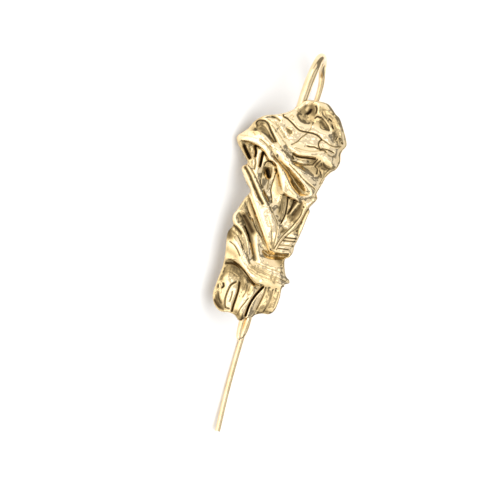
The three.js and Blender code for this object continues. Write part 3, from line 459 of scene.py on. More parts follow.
MIDDLE_SEAMS = [
    Seam("a line", 0.4, 0.08, 0.05, [(-11.5, 11.9), (-10.3, 10.5), (-9, 8.9)]),
    Seam("a slot", 1, 0.22, 0.5, [(-10.8, 12), (-10.2, 11.2), (-9.3, 10.1)]),
    Seam("b slot", 0.95, 0.15, 0.4, [(-8.8, 12.3), (-8.4, 11.5), (-8.3, 10.6)]),
    Seam("b groove", 0.6, 0.12, 0.08, [(-8.3, 10.4), (-7.9, 9.4), (-7.8, 8.2)]),
    Seam("c slot", 1, 0.16, 0.5, [(-7.1, 11.5), (-7, 10.2), (-6.95, 9.1)]),
    Seam("d hook", 0.95, 0.1, 0.1, [(-6.2, 9.4), (-6, 10.1), (-5.2, 10.3), (-4.6, 9.9)]),
    Seam("d line", 0.6, 0.08, 0.06, [(-6.25, 9.2), (-6.2, 7.5), (-6, 6), (-5.4, 5.2)]),
    Seam("black pit", 1, 0.3, 0.5, [(-5.4, 8.7), (-5.1, 8.1), (-4.8, 7.6)]),
    Seam("pit line", 0.55, 0.08, 0.07, [(-4.7, 7.3), (-4.6, 6.3), (-4.55, 5.2)]),
    Seam("e line", 0.85, 0.08, 0.08, [(-3.75, 9.3), (-3.8, 7.6), (-3.8, 5.2), (-3.3, 4), (-3, 3)]),
    Seam("curl shadow", 0.7, 0.08, 0.08, [(-5.1, 4.9), (-4.6, 4.1), (-4, 3.6), (-3.6, 3)]),
    Seam("f line", 0.5, 0.08, 0.06, [(-1.25, 4.9), (-0.9, 3.2), (-0.7, 1.4), (-0.7, 0.2)]),
    Seam("v first gap", 0.95, 0.12, 0.12, [(-0.3, 4.6), (-0.05, 3), (0, 1.4), (-0.3, -0.3)]),
    Seam("v second gap", 0.95, 0.12, 0.12, [(0.95, 4.4), (0.85, 3.2), (0.45, 1.7)]),
    Seam("r1 shade", 0.5, 0.25, 0.03, [(2.05, 3.6), (1.6, 2.3), (1, 1)]),
    Seam("v dot", 1, 0.1, 0.08, [(2.95, 3.75), (3.05, 3.6)]),
    Seam("r2 gap", 0.75, 0.08, 0.08, [(2.9, 3.2), (2.85, 2), (2.35, 0.7), (1.8, -0.5), (1.1, -1.7),
        (0.3, -3.2), (-0.3, -5.3)]),
    Seam("r2 right line", 0.6, 0.08, 0.07, [(4.5, 4.6), (3.8, 3), (3.4, 1.2), (2.8, -0.4), (1.9, -1.6),
        (1.1, -2.8), (0.5, -4.1), (0.2, -5.4)]),
    Seam("r3 slit", 0.95, 0.08, 0.06, [(3.45, 0.9), (3.35, 0.4)]),
    Seam("r3 dot", 1, 0.09, 0.06, [(2.95, -0.9), (2.85, -1.1)]),
    Seam("m5 first gap", 0.8, 0.1, 0.15, [(1.1, -2.8), (2.1, -2.65), (3.2, -2.5)]),
    Seam("m5 second gap", 0.85, 0.08, 0.06, [(0.9, -3.45), (2, -3.25), (3.1, -3.1)]),
    Seam("m5 third gap", 0.5, 0.09, 0.1, [(0.6, -4.4), (1.8, -4.15), (3, -4)]),
    Seam("m5 fourth gap", 0.9, 0.08, 0.06, [(0.4, -5.1), (1.3, -4.95), (2.3, -4.85)]),
]

BAR_SEAMS = [
    Seam("bar upper line", 0.45, 0.07, 0.06, [(-9, 8.6), (-7.7, 7.5), (-6.3, 5.8), (-5.2, 4.5), (-4, 3),
        (-3, 1.9), (-2, 0.7), (-1.2, -0.4), (-0.7, -1.8), (-0.55, -3.4), (-0.5, -5.2)]),
    Seam("bar groove", 0.75, 0.22, 0.14, [(-9.6, 8.1), (-8.5, 7), (-7, 5.1), (-5.8, 3.6), (-4.6, 2.3)]),
    Seam("bar groove side", 0.3, 0.07, 0.03, [(-9.2, 8.2), (-8.1, 7), (-6.6, 5.1), (-5.4, 3.7)]),
    Seam("bar groove end", 0.3, 0.07, 0.04, [(-3, 0.2), (-2.1, -1.2), (-1.4, -2.9), (-0.9, -4.6)]),
    Seam("bar lower line", 0.35, 0.07, 0.04, [(-8.6, 5.5), (-7.3, 3.6), (-5.9, 1.6), (-4.6, -0.3),
        (-3.2, -2.3), (-2, -4)]),
]

LOWER_SEAMS = [
    Seam("under bar groove", 0.5, 0.09, 0.12, [(-7.3, 2.5), (-6.1, 0.5), (-5.1, -1.1), (-3.9, -2.9),
        (-2.6, -4.6), (-1.1, -6.3)]),
    Seam("panel line", 0.85, 0.1, 0.08, [(-7.4, 1.1), (-6.9, 0.3), (-6.3, -0.5)]),
    Seam("thin line", 0.85, 0.08, 0.08, [(-5.8, -0.9), (-5, -2), (-4.2, -3), (-3.2, -3.9)]),
    Seam("hollow crease", 0.9, 0.16, 0.1, [(-6.8, -2.6), (-5.9, -3.8), (-5.1, -5.2)]),
    Seam("right panel line", 0.4, 0.06, 0.03, [(-2.9, -8.8), (-1.4, -9), (0.4, -9.2), (2.4, -9.4)]),
    Seam("rim line", 0.4, 0.07, 0.05, [(-8.3, -3), (-7.2, -3.6), (-6.2, -4.7), (-5.5, -6), (-4.9, -7.6),
        (-4.2, -8.9), (-3, -9.7), (-0.8, -10.15), (1.4, -10.4), (3.4, -10.75)]),
    Seam("second line", 0.65, 0.09, 0.07, [(-8.9, -4.1), (-7.6, -4.8), (-6.6, -5.9), (-5.9, -7)]),
    Seam("band slit", 0.7, 0.1, 0.06, [(-8.8, -6.2), (-7.8, -6.6), (-6.9, -7.4), (-6.2, -8.3)]),
    Seam("band line", 0.35, 0.06, 0.03, [(-3.6, -10.4), (-1.8, -11), (0.2, -11.25), (2.4, -11.3)]),
]

BOTTOM_SEAMS = [
    Seam("under lip", 0.8, 0.13, 0.25, [(-8.4, -10.3), (-7, -10), (-5.8, -10.3), (-4.6, -11), (-3.4, -12),
        (-2.2, -12.9)]),
    Seam("arch gap", 0.6, 0.1, 0.05, [(-8.4, -12), (-7, -11.8), (-5.8, -12.2)]),
    Seam("lump pit", 0.9, 0.14, 0.1, [(-7.9, -14.1), (-7.7, -14.6), (-7.9, -15)]),
    Seam("strip pit", 0.9, 0.09, 0.06, [(-8.75, -14.6), (-8.65, -15.2)]),
    Seam("egg outline", 0.7, 0.11, 0.2, [(-5.6, -13.25), (-6.4, -14.1), (-6.75, -15.6), (-6.75, -17.2),
        (-6.3, -18.4), (-5.6, -18.5)]),
    Seam("egg slit", 0.6, 0.09, 0.08, [(-5.8, -15.2), (-5.75, -16.1), (-5.8, -17)]),
    Seam("egg right", 0.85, 0.14, 0.3, [(-5, -13.2), (-4.85, -14.6), (-4.9, -16.2), (-5, -17.6),
        (-5, -18.8)]),
    Seam("low left gap", 0.6, 0.1, 0.15, [(-8.4, -15.9), (-7.9, -17), (-7.2, -17.8)]),
    Seam("g line", 0.6, 0.08, 0.06, [(-3.3, -13.4), (-3.4, -14.6), (-3.7, -15.7)]),
    Seam("slant gap", 0.7, 0.08, 0.06, [(-2.6, -15.6), (-3.1, -16.8), (-3.6, -18), (-3.8, -19.2)]),
    Seam("parting", 1, 0.14, 0.45, [(-0.5, -12.9), (-1, -13.8), (-1.5, -14.8), (-1.9, -15.9), (-2.15, -17),
        (-2.25, -18), (-2.3, -19)]),
    Seam("j gap", 0.6, 0.12, 0.2, [(0.1, -13), (0, -14.4), (-0.25, -15.8), (-0.55, -17.3)]),
    Seam("l gap", 0.5, 0.1, 0.15, [(1.5, -13), (1.5, -14.4), (1.3, -15.8), (0.95, -17.3)]),
    Seam("m gap", 0.4, 0.09, 0.1, [(2.7, -13), (2.65, -14.6), (2.5, -16)]),
]

# Patches of painted shade and painted dark reflection: seams without depth.
PAINTED_SHADE_PATCHES = [
    Seam("right rim", 0.35, 0.6, 0, [(3.6, 21.6), (4.8, 20.2)]),
    Seam("low right rim", 0.35, 0.5, 0, [(4.4, 11.6), (5.2, 10.8)]),
    Seam("beside the knot", 0.6, 0.6, 0, [(-0.2, 22.4), (0.2, 21.2)]),
    Seam("under the hook", 0.4, 0.7, 0, [(-9.6, 15.4), (-8, 16.2)]),
    Seam("beside the hatch", 0.55, 0.7, 0, [(2.6, 12.4), (3.9, 11.9)]),
    Seam("left cheek", 0.5, 0.5, 0, [(-9.8, 11.6), (-9.2, 10.2)]),
    Seam("beside the curl", 0.3, 0.6, 0, [(-3.4, 8), (-2.4, 4.9)]),
    Seam("middle strip", 0.4, 0.5, 0, [(-1.2, 4.8), (-0.9, 1.5)]),
    Seam("between the strips", 0.5, 0.5, 0, [(0.8, 1.4), (2, 0.8)]),
    Seam("hollow", 0.75, 0.6, 0, [(-7.4, -0.8), (-5.2, -3.2)]),
    Seam("left band", 0.65, 0.7, 0, [(-9.8, -3.4), (-9, -5)]),
    Seam("left strip", 0.35, 0.6, 0, [(-8.6, -7.8), (-7, -8.6)]),
    Seam("under the lip", 0.35, 0.5, 0, [(-1.2, -4.6), (-0.8, -5.4)]),
    Seam("right of the band", 0.5, 0.6, 0, [(0.4, -6.6), (1.6, -7.4)]),
    Seam("long slope", 0.3, 0.7, 0, [(-3.2, -10.2), (-1, -10.4)]),
    Seam("lower slope", 0.3, 0.6, 0, [(0.6, -10.9), (1.2, -11.2)]),
    Seam("right strips", 0.35, 0.7, 0, [(0.4, -13), (2, -15)]),
    Seam("above the lumps", 0.5, 0.7, 0, [(-4.6, -13.2), (-3.2, -14)]),
    Seam("foot", 0.55, 0.5, 0, [(-4.2, -18.8), (-2.8, -19.8)]),
    Seam("right foot", 0.4, 0.6, 0, [(0, -17.2), (1.8, -15.8)]),
]

FOLDS = TOP_FOLDS + UPPER_FOLDS + MIDDLE_FOLDS + BAR_FOLDS + LOWER_FOLDS + BOTTOM_FOLDS
SEAMS = TOP_SEAMS + UPPER_SEAMS + MIDDLE_SEAMS + BAR_SEAMS + LOWER_SEAMS + BOTTOM_SEAMS + PAINTED_SHADE_PATCHES

# ---- Curves ----


def smooth_line(points, step):
    """Points every step along a centripetal Catmull-Rom curve through the given ones."""
    points = np.asarray(points, float)
    ends = [2 * points[0] - points[1], *points, 2 * points[-1] - points[-2]]
    line = []
    for before, start, end, after in zip(ends, ends[1:], ends[2:], ends[3:]):
        gaps = [np.linalg.norm(b - a) ** 0.5 for a, b in ((before, start), (start, end), (end, after))]
        leave = (start - before) / gaps[0] - (end - before) / (gaps[0] + gaps[1]) + (end - start) / gaps[1]
        reach = (end - start) / gaps[1] - (after - start) / (gaps[1] + gaps[2]) + (after - end) / gaps[2]
        count = max(1, math.ceil(np.linalg.norm(end - start) / step))
        t = np.linspace(0, 1, count, endpoint=False)[:, None]
        line.append(
            start * (2 * t**3 - 3 * t**2 + 1) + end * (3 * t**2 - 2 * t**3)
            + leave * gaps[1] * (t**3 - 2 * t**2 + t) + reach * gaps[1] * (t**3 - t**2)
        )
    line.append(points[-1:])
    return np.concatenate(line)


def along_line(line, count):
    """Count points evenly spaced along a line."""
    lengths = np.concatenate(([0], np.cumsum(np.linalg.norm(np.diff(line, axis=0), axis=1))))
    places = np.linspace(0, lengths[-1], count)
    return np.stack([np.interp(places, lengths, line[:, axis]) for axis in range(line.shape[1])], axis=1)


# ---- The lines that hold the sheet: x, z, height, shade, softness ----


def fold_lines(fold):
    """A fold's own line and, where the sheet drops beside it, the line at the foot of the drop."""
    line = smooth_line(fold.line, STEPS["fold"])
    count = len(line)
    lines = [np.column_stack([line, np.full(count, fold.shade), np.full(count, fold.soft)])]
    if fold.drop:
        along = np.gradient(line[:, :2], axis=0)
        lower = np.column_stack([along[:, 1], -along[:, 0]])
        lower /= np.linalg.norm(lower, axis=1, keepdims=True)
        share = np.linspace(0, 1, count)
        fade = np.clip(np.minimum(share, 1 - share) / FOOT["fade"], 0, 1)
        foot = line.copy()
        foot[:, :2] += FOOT["away"] * lower
        foot[:, 2] -= fold.drop * (FOOT["least_drop"] + (1 - FOOT["least_drop"]) * fade)
        # The foot is painted darker: a painted shadow under the edge.
        darker = FOOT["least_shade"] + (1 - FOOT["least_shade"]) * fade
        shade = fold.shade + (FOOT["shade"] - fold.shade) * darker
        lines.append(np.column_stack([foot, shade, np.full(count, FOOT["soft"])]))
    return lines


def rim_lines(sides):
    """The sheet's rim along each side."""
    lines = []
    for name, side in sides.items():
        count = len(side)
        share = np.linspace(0, 1, count)
        start, end = RIM_HEIGHTS[name]
        height = start + (end - start) * share + RIM_RISE[name] * np.sin(math.pi * share) ** 0.5
        shade, soft = np.full(count, RIM["shade"]), np.full(count, RIM["soft"])
        lines.append(np.column_stack([side, height, shade, soft]))
    return lines


# ---- Work on square grids of cells ----


def fixed_cells(lines, corner, shape, cell):
    """The mean of the lines' values in each cell they cross, and which cells those are."""
    points = np.concatenate(lines)
    places = np.rint((points[:, :2] - corner) / cell).astype(int)
    flat = places[:, 1] * shape[1] + places[:, 0]
    crossed = np.bincount(flat, minlength=shape[0] * shape[1]).reshape(shape)
    values = np.zeros((3, *shape))
    for channel in range(3):
        total = np.bincount(flat, points[:, 2 + channel], minlength=shape[0] * shape[1])
        values[channel] = total.reshape(shape) / np.maximum(crossed, 1)
    return values, crossed > 0


def draw_taut(values, fixed):
    """Draws each free cell towards the mean of its neighbours, the two colours of a board in turn."""
    rows, columns = np.indices(fixed.shape)
    inside = np.zeros_like(fixed)
    inside[1:-1, 1:-1] = True
    colours = [inside & ~fixed & ((rows + columns) % 2 == parity) for parity in (0, 1)]
    for _ in range(PULL["rounds"]):
        for colour in colours:
            around = np.zeros_like(values)
            around[:, 1:-1, 1:-1] = (
                values[:, :-2, 1:-1] + values[:, 2:, 1:-1] + values[:, 1:-1, :-2] + values[:, 1:-1, 2:]
            ) / 4
            values += PULL["push"] * (around - values) * colour
    return values


def read_grid(values, rows, columns):
    """Values between the cells, for arrays of row and column numbers."""
    row = np.floor(rows).astype(int)
    column = np.floor(columns).astype(int)
    up = rows - row
    across = columns - column
    low = values[..., row, column] * (1 - across) + values[..., row, column + 1] * across
    high = values[..., row + 1, column] * (1 - across) + values[..., row + 1, column + 1] * across
    return low * (1 - up) + high * up


def refined(values, shape):
    """A coarse grid read at twice as many cells."""
    rows = np.minimum(np.arange(shape[0]) / 2, values.shape[1] - 1.001)
    columns = np.minimum(np.arange(shape[1]) / 2, values.shape[2] - 1.001)
    return read_grid(values, rows[:, None], columns[None, :])


def blurred(values, rounds):
    """The values, each shared with its neighbours so many times."""
    for _ in range(rounds):
        padded = np.pad(values, ((1, 1), (0, 0)), mode="edge")
        values = (padded[:-2] + 2 * padded[1:-1] + padded[2:]) / 4
        padded = np.pad(values, ((0, 0), (1, 1)), mode="edge")
        values = (padded[:, :-2] + 2 * padded[:, 1:-1] + padded[:, 2:]) / 4
    return values


def eroded(values, rounds):
    """The values, each lowered to its least neighbour so many times."""
    for _ in range(rounds):
        padded = np.pad(values, 1, mode="edge")
        sides = (padded[:-2, 1:-1], padded[2:, 1:-1], padded[1:-1, :-2], padded[1:-1, 2:])
        values = np.minimum.reduce([values, *sides])
    return values


def filled_out(heights):
    """The heights with their ridges widened and their valleys narrowed, none of them moved."""
    above = blurred(-eroded(-heights, FULLNESS["reach"]), FULLNESS["blur"])
    depth = np.maximum(above - heights, 0)
    return above - depth * depth / (depth + FULLNESS["depth"])


def softened(heights, soft):
    """The heights, each cell blurred as much as its softness says."""
    result = blurred(heights, BLURS[0][1])
    for (least, _), (most, rounds) in zip(BLURS, BLURS[1:]):
        share = np.clip((soft - least) / (most - least), 0, 1)
        result += share * (blurred(heights, rounds) - result)
    return result


def chance_waves(shape):
    """Smooth chance waves, the slight unevenness of metal polished by hand."""
    chance = np.random.default_rng(UNEVEN["seed"])
    waves = np.zeros(shape)
    for width, height in UNEVEN["waves"]:
        wave = blurred(chance.standard_normal(shape), round(2 * (width / CELLS[-1] / 2) ** 2))
        waves += height * wave / wave.std()
    return waves


# ---- The sheet ----


class Sheet:
    """The crumpled sheet over the outline: its heights, its shades and its smooth back."""

    def __init__(self, sides, outline):
        self.corner = outline.min(axis=0) - MARGIN
        height, shade, soft = self.drawn(rim_lines(sides), outline.max(axis=0) + MARGIN - self.corner)
        self.heights = softened(filled_out(height), soft) + chance_waves(height.shape)
        self.shades = blurred(shade, 1) ** SHADE_CURVE
        self.work_seams()
        self.backs = blurred(eroded(self.heights, BACK["erode"]), BACK["blur"]) - WALL

    def drawn(self, lines, size):
        """Height, shade and softness, drawn between the rim's and the folds' lines."""
        for fold in FOLDS:
            lines += fold_lines(fold)
        values = np.array([RIM_HEIGHTS["bottom"][0], RIM["shade"], RIM["soft"]])[:, None, None]
        for cell in CELLS:
            shape = (int(size[1] / cell) + 2, int(size[0] / cell) + 2)
            known, fixed = fixed_cells(lines, self.corner, shape, cell)
            values = np.tile(values, (1, *shape)) if cell == CELLS[0] else refined(values, shape)
            values[:, fixed] = known[:, fixed]
            values = draw_taut(values, fixed)
        return values

    def work_seams(self):
        """Sinks the cells along each seam and paints shade on them."""
        rows, columns = np.indices(self.heights.shape)
        sunk = np.zeros_like(self.heights)
        for seam in SEAMS:
            reach = int(3 * seam.width / CELLS[-1]) + 1
            for x, z in smooth_line(seam.line, STEPS["seam"] * seam.width):
                column, row = np.rint((np.array((x, z)) - self.corner) / CELLS[-1]).astype(int)
                window = (slice(row - reach, row + reach + 1), slice(column - reach, column + reach + 1))
                aside = self.corner[0] + columns[window] * CELLS[-1] - x
                above = self.corner[1] + rows[window] * CELLS[-1] - z
                share = np.exp(-(aside**2 + above**2) / (2 * seam.width**2))
                self.shades[window] = np.maximum(self.shades[window], seam.shade * share)
                sunk[window] = np.maximum(sunk[window], seam.depth * share)
        self.heights -= sunk

    def read(self, values, points):
        """The sheet's values at points x, z."""
        places = (points - self.corner) / CELLS[-1]
        return read_grid(values, places[:, 1], places[:, 0])


# ---- The front: a grid fitted to the outline, a front and a back face, and a rim ----


def closed_outline(sides):
    """The four sides as one line round the front, anticlockwise."""
    return np.concatenate([
        sides["bottom"][:-1], sides["right"][:-1], sides["top"][::-1][:-1], sides["left"][::-1][:-1],
    ])


def patch_points(sides, across, along):
    """The grid of points between the four sides, in rows from the bottom up."""
    bottom = along_line(sides["bottom"], across + 1)[None, :]
    top = along_line(sides["top"], across + 1)[None, :]
    left = along_line(sides["left"], along + 1)[:, None]
    right = along_line(sides["right"], along + 1)[:, None]
    u = np.linspace(0, 1, across + 1)[None, :, None]
    v = np.linspace(0, 1, along + 1)[:, None, None]
    low = bottom[:, :1] * (1 - u) + bottom[:, -1:] * u
    high = top[:, :1] * (1 - u) + top[:, -1:] * u
    return bottom * (1 - v) + top * v + left * (1 - u) + right * u - low * (1 - v) - high * v


def distances(points, line):
    """The distance of each point from the nearest point of a line."""
    tree = kdtree.KDTree(len(line))
    for index, (x, z) in enumerate(line):
        tree.insert((x, z, 0), index)
    tree.balance()
    return np.array([tree.find((x, z, 0))[2] for x, z in points])


def rounded_edge(distance, radius):
    """How far a rounded edge falls away, a distance in from it."""
    inside = np.clip(radius - distance, 0, radius)
    return radius - np.sqrt(radius**2 - inside**2)


def grid_quads(width, height, start, flipped):
    """The faces of a grid of points, which are numbered from start on."""
    low = (np.arange(height - 1)[:, None] * width + np.arange(width - 1)[None, :]).ravel() + start
    quads = np.stack([low, low + 1, low + width + 1, low + width], axis=1)
    return quads[:, ::-1] if flipped else quads


def grid_loop(width, height, start):
    """The numbers of the points round a grid's edge, anticlockwise from its first."""
    grid = np.arange(width * height).reshape(height, width) + start
    return np.concatenate([grid[0, :-1], grid[:-1, -1], grid[-1, :0:-1], grid[:0:-1, 0]])


def rim_faces(front, back):
    """Faces between the front's loop and the back's, which has half as many points."""
    faces = []
    for i, behind in enumerate(back):
        first, middle, last = front[2 * i], front[2 * i + 1], front[(2 * i + 2) % len(front)]
        beside = back[(i + 1) % len(back)]
        faces += [(first, behind, middle), (middle, behind, beside), (middle, beside, last)]
    return faces


def back_heights(sheet, points, heights):
    """The back's heights: level under the wire, and a wall's thickness behind the front."""
    backs = np.minimum(sheet.read(sheet.backs, points), heights - WALL)
    aside = np.clip((abs(points[:, 0] - BED["x"]) - BED["narrow"]) / (BED["wide"] - BED["narrow"]), 0, 1)
    clear = aside * aside * (3 - 2 * aside)
    return np.minimum(backs, BED["height"]) * (1 - clear) + backs * clear


def front_mesh():
    """The places and faces of the front in the worn frame, and the shade of each place."""
    sides = {name: smooth_line(points, STEPS["outline"]) for name, points in OUTLINE.items()}
    outline = closed_outline(sides)
    sheet = Sheet(sides, outline)
    across, along = GRID["across"], GRID["along"]
    points = patch_points(sides, across, along)
    behind = points[::2, ::2].reshape(-1, 2)
    points = points.reshape(-1, 2)
    fall = rounded_edge(distances(points, outline), EDGE_ROUND)
    heights = sheet.read(sheet.heights, points) - fall
    shades = sheet.read(sheet.shades, points)
    backs = back_heights(sheet, behind, heights.reshape(along + 1, across + 1)[::2, ::2].ravel())
    places = np.concatenate([
        np.column_stack([points[:, 0], -heights, points[:, 1]]),
        np.column_stack([behind[:, 0], -backs, behind[:, 1]]),
    ])
    start = len(points)
    faces = [tuple(quad) for quad in grid_quads(across + 1, along + 1, 0, False)]
    faces += [tuple(quad) for quad in grid_quads(across // 2 + 1, along // 2 + 1, start, True)]
    front_loop = grid_loop(across + 1, along + 1, 0)
    faces += rim_faces(front_loop, grid_loop(across // 2 + 1, along // 2 + 1, start))
    return places, faces, np.concatenate([shades, np.full(len(behind), BACK["shade"])])


# ---- Objects and nodes ----


def linked(name, data):
    """A new object in the scene."""
    made = bpy.data.objects.new(name, data)
    bpy.context.scene.collection.objects.link(made)
    return made


class TreeBuilder:
    """Adds nodes to a tree, each with its settings and its inputs, which are values or links."""

    def __init__(self, tree):
        self.tree = tree

    def node(self, kind, settings=None, **inputs):
        node = self.tree.nodes.new(kind)
        for name, value in (settings or {}).items():
            setattr(node, name, value)
        for name, value in inputs.items():
            self.feed(node.inputs[name.replace("_", " ")], value)
        return node

    def feed(self, socket, value):
        """Gives a socket a value, or links it where the value comes from a node."""
        if isinstance(value, Number):
            value = value.socket
        if isinstance(value, bpy.types.NodeSocket):
            self.tree.links.new(value, socket)
        else:
            socket.default_value = value


class Number:
    """A number from a node, with the usual arithmetic."""

    def __init__(self, build, socket):
        self.build = build
        self.socket = socket

    def maths(self, operation, *values):
        node = self.build.node("ShaderNodeMath", {"operation": operation})
        for socket, value in zip(node.inputs, values):
            self.build.feed(socket, value)
        return Number(self.build, node.outputs[0])

    def __add__(self, other):
        return self.maths("ADD", self, other)

    def __radd__(self, other):
        return self.maths("ADD", other, self)

    def __sub__(self, other):
        return self.maths("SUBTRACT", self, other)

    def __rsub__(self, other):
        return self.maths("SUBTRACT", other, self)

    def __mul__(self, other):
        return self.maths("MULTIPLY", self, other)

    def __rmul__(self, other):
        return self.maths("MULTIPLY", other, self)

    def between(self, low, high):
        """From 0 at low to 1 at high, clamped."""
        node = self.build.node(
            "ShaderNodeMapRange", {"clamp": True}, Value=self, From_Min=low, From_Max=high,
        )
        return Number(self.build, node.outputs[0])


# ---- The ear wire and the solder: tubes along curves ----


def wire_route():
    """The wire's middle line from behind the front's foot, over the ear and down to the tail."""
    points = [*ROD, (NECK[0], WIRE_DEPTH, NECK[1])]
    for angle in range(0, 181, 30):
        turn = math.radians(angle)
        x = HOOK["x"] + HOOK["lean"] * angle / 180
        depth = WIRE_DEPTH + HOOK["radius"] * (1 - math.cos(turn))
        points.append((x, depth, HOOK["z"] + HOOK["radius"] * math.sin(turn)))
    return smooth_line(points + LEG, STEPS["wire"])


def guide_curve(name, lines):
    """A curve object of straight-stepped splines, each a list of x, y, z and radius."""
    curve = bpy.data.curves.new(name, "CURVE")
    curve.dimensions = "3D"
    for line in lines:
        spline = curve.splines.new("POLY")
        spline.points.add(len(line) - 1)
        for point, (x, y, z, radius) in zip(spline.points, line):
            point.co = (x, y, z, 1)
            point.radius = radius
    return linked(name, curve)


def tube_tree():
    """Sweeps a circle along curves by their radius, thinning over a stretch of their length."""
    tree = bpy.data.node_groups.new("Tapered tube", "GeometryNodeTree")
    sockets = {}
    for name, kind, value in (
        ("Geometry", "NodeSocketGeometry", None), ("Thin share", "NodeSocketFloat", 1.0),
        ("Taper start", "NodeSocketFloat", 0.0), ("Taper end", "NodeSocketFloat", 1.0),
        ("Sides", "NodeSocketInt", 32), ("Material", "NodeSocketMaterial", None),
    ):
        sockets[name] = tree.interface.new_socket(name, in_out="INPUT", socket_type=kind)
        if value is not None:
            sockets[name].default_value = value
    tree.interface.new_socket("Geometry", in_out="OUTPUT", socket_type="NodeSocketGeometry")
    build = TreeBuilder(tree)
    given = build.node("NodeGroupInput").outputs
    length = build.node("GeometryNodeSplineParameter").outputs["Length"]
    thinning = build.node(
        "ShaderNodeMapRange", {"interpolation_type": "SMOOTHSTEP"}, Value=length,
        From_Min=given["Taper start"], From_Max=given["Taper end"], To_Min=1.0, To_Max=given["Thin share"],
    )
    width = Number(build, build.node("GeometryNodeInputRadius").outputs[0]) * thinning.outputs[0]
    circle = build.node("GeometryNodeCurvePrimitiveCircle", Resolution=given["Sides"], Radius=1.0)
    tube = build.node(
        "GeometryNodeCurveToMesh", Curve=given["Geometry"], Profile_Curve=circle.outputs["Curve"],
        Scale=width, Fill_Caps=True,
    )
    smooth = build.node("GeometryNodeSetShadeSmooth", Geometry=tube.outputs[0])
    real = build.node("GeometryNodeRealizeInstances", Geometry=smooth.outputs[0])
    painted = build.node("GeometryNodeSetMaterial", Geometry=real.outputs[0], Material=given["Material"])
    build.node("NodeGroupOutput", Geometry=painted.outputs[0])
    return tree, sockets


def swept_mesh(name, lines, material, **values):
    """A plain mesh object of tubes along the lines."""
    guide = guide_curve(name + "_guide", lines)
    tree, sockets = tube_tree()
    modifier = guide.modifiers.new("Tapered tube", "NODES")
    modifier.node_group = tree
    modifier[sockets["Material"].identifier] = material
    for label, value in values.items():
        modifier[sockets[label.replace("_", " ")].identifier] = value
    bpy.context.view_layer.update()
    evaluated = guide.evaluated_get(bpy.context.evaluated_depsgraph_get())
    mesh = bpy.data.meshes.new_from_object(evaluated)
    mesh.name = name
    bpy.data.objects.remove(guide)
    return linked(name, mesh)


# ---- Materials ----


def gold_material(name, roughness):
    """A metal material, its builder, its shader and the place on the piece that patterns read."""
    material = bpy.data.materials.new(name)
    material.use_nodes = True
    build = TreeBuilder(material.node_tree)
    shader = material.node_tree.nodes["Principled BSDF"]
    shader.inputs["Metallic"].default_value = 1.0
    shader.inputs["Roughness"].default_value = roughness
    place = build.node("ShaderNodeTexCoord").outputs["Object"]
    return material, build, shader, place


def noise(build, place, scale, detail=2.0):
    node = build.node("ShaderNodeTexNoise", Vector=place, Scale=scale, Detail=detail)
    return Number(build, node.outputs["Fac"])


def mixed(build, share, first, second):
    """A colour between two, each a colour or a socket, by a number."""
    node = build.node("ShaderNodeMix", {"data_type": "RGBA"})
    build.feed(node.inputs["Factor"], share)
    for name, colour in (("A", first), ("B", second)):
        socket = [one for one in node.inputs if one.name == name and one.type == "RGBA"][0]
        build.feed(socket, colour)
    return [one for one in node.outputs if one.type == "RGBA"][0]


def front_gold(sizes):
    """Polished gold with painted shade and painted dark reflections in its creases, and a painted highlight
    on its ridges.
    """
    material, build, shader, place = gold_material("gold_front", sizes.front_roughness)
    # The painted shading: shade and dark reflections painted into the colour, from 0 on the ridges to 1 in
    # the creases.
    painted_shading = Number(build, build.node("ShaderNodeAttribute", {"attribute_name": "painted_shading"}).outputs["Fac"])
    shade = painted_shading
    for scale, share in MOTTLING:
        shade = shade + share * (noise(build, place, scale) - 0.5)
    colour = GOLD_TINTS["bright_gold"]
    for low, high, tint in DARKENING:
        colour = mixed(build, shade.between(low, high), colour, GOLD_TINTS[tint])
    build.feed(shader.inputs["Base Color"], colour)
    dulling = DULLING["by"] * shade.between(DULLING["from"], DULLING["to"])
    build.feed(shader.inputs["Roughness"], sizes.front_roughness + dulling)
    fine = noise(build, place, WAVERING["fine"], detail=3.0)
    waves = fine + WAVERING["broad_share"] * noise(build, place, WAVERING["broad"])
    bump = build.node(
        "ShaderNodeBump", Strength=sizes.front_bump, Distance=WAVERING["height"], Height=waves,
    )
    build.feed(shader.inputs["Normal"], bump.outputs[0])
    return material


def wire_gold():
    """Polished gold with a little wear."""
    material, build, shader, place = gold_material("gold_wire", WIRE_POLISH["roughness"])
    wear = noise(build, place, WIRE_POLISH["wear_scale"]).between(*WEAR)
    colour = mixed(build, wear, GOLD_TINTS["bright_gold"], GOLD_TINTS["wire_shade"])
    build.feed(shader.inputs["Base Color"], colour)
    return material


def solder_gold():
    """The duller gold of the solder."""
    material, build, shader, place = gold_material("gold_solder", SOLDER_POLISH["roughness"])
    wear = noise(build, place, SOLDER_POLISH["wear_scale"]).between(*WEAR)
    colour = mixed(build, wear, GOLD_TINTS["solder"], GOLD_TINTS["solder_shade"])
    build.feed(shader.inputs["Base Color"], colour)
    return material


def floor_paint(colour):
    """The matt paint of the floor."""
    paint = bpy.data.materials.new("floor_paint")
    paint.use_nodes = True
    surface = paint.node_tree.nodes["Principled BSDF"]
    surface.inputs["Base Color"].default_value = (*colour, 1)
    surface.inputs["Roughness"].default_value = FLOOR["roughness"]
    surface.inputs["Specular IOR Level"].default_value = FLOOR["shine"]
    return paint


# ---- The sizes and colours one may change ----


class CuffSizes(bpy.types.PropertyGroup):
    front_width: bpy.props.FloatProperty(
        name="Wire at the front", description="Diameter of the wire behind the front, in millimetres",
        default=1.8, min=0.5, max=3.0,
    )
    back_width: bpy.props.FloatProperty(
        name="Wire at the back", description="Diameter of the wire behind the ear, in millimetres",
        default=1.05, min=0.5, max=3.0,
    )
    front_roughness: bpy.props.FloatProperty(
        name="Front roughness", description="How dull the polish of the front is",
        default=0.09, min=0.0, max=1.0, subtype="FACTOR",
    )
    front_bump: bpy.props.FloatProperty(
        name="Front unevenness", description="How strongly the polish wavers",
        default=0.6, min=0.0, max=1.0, subtype="FACTOR",
    )


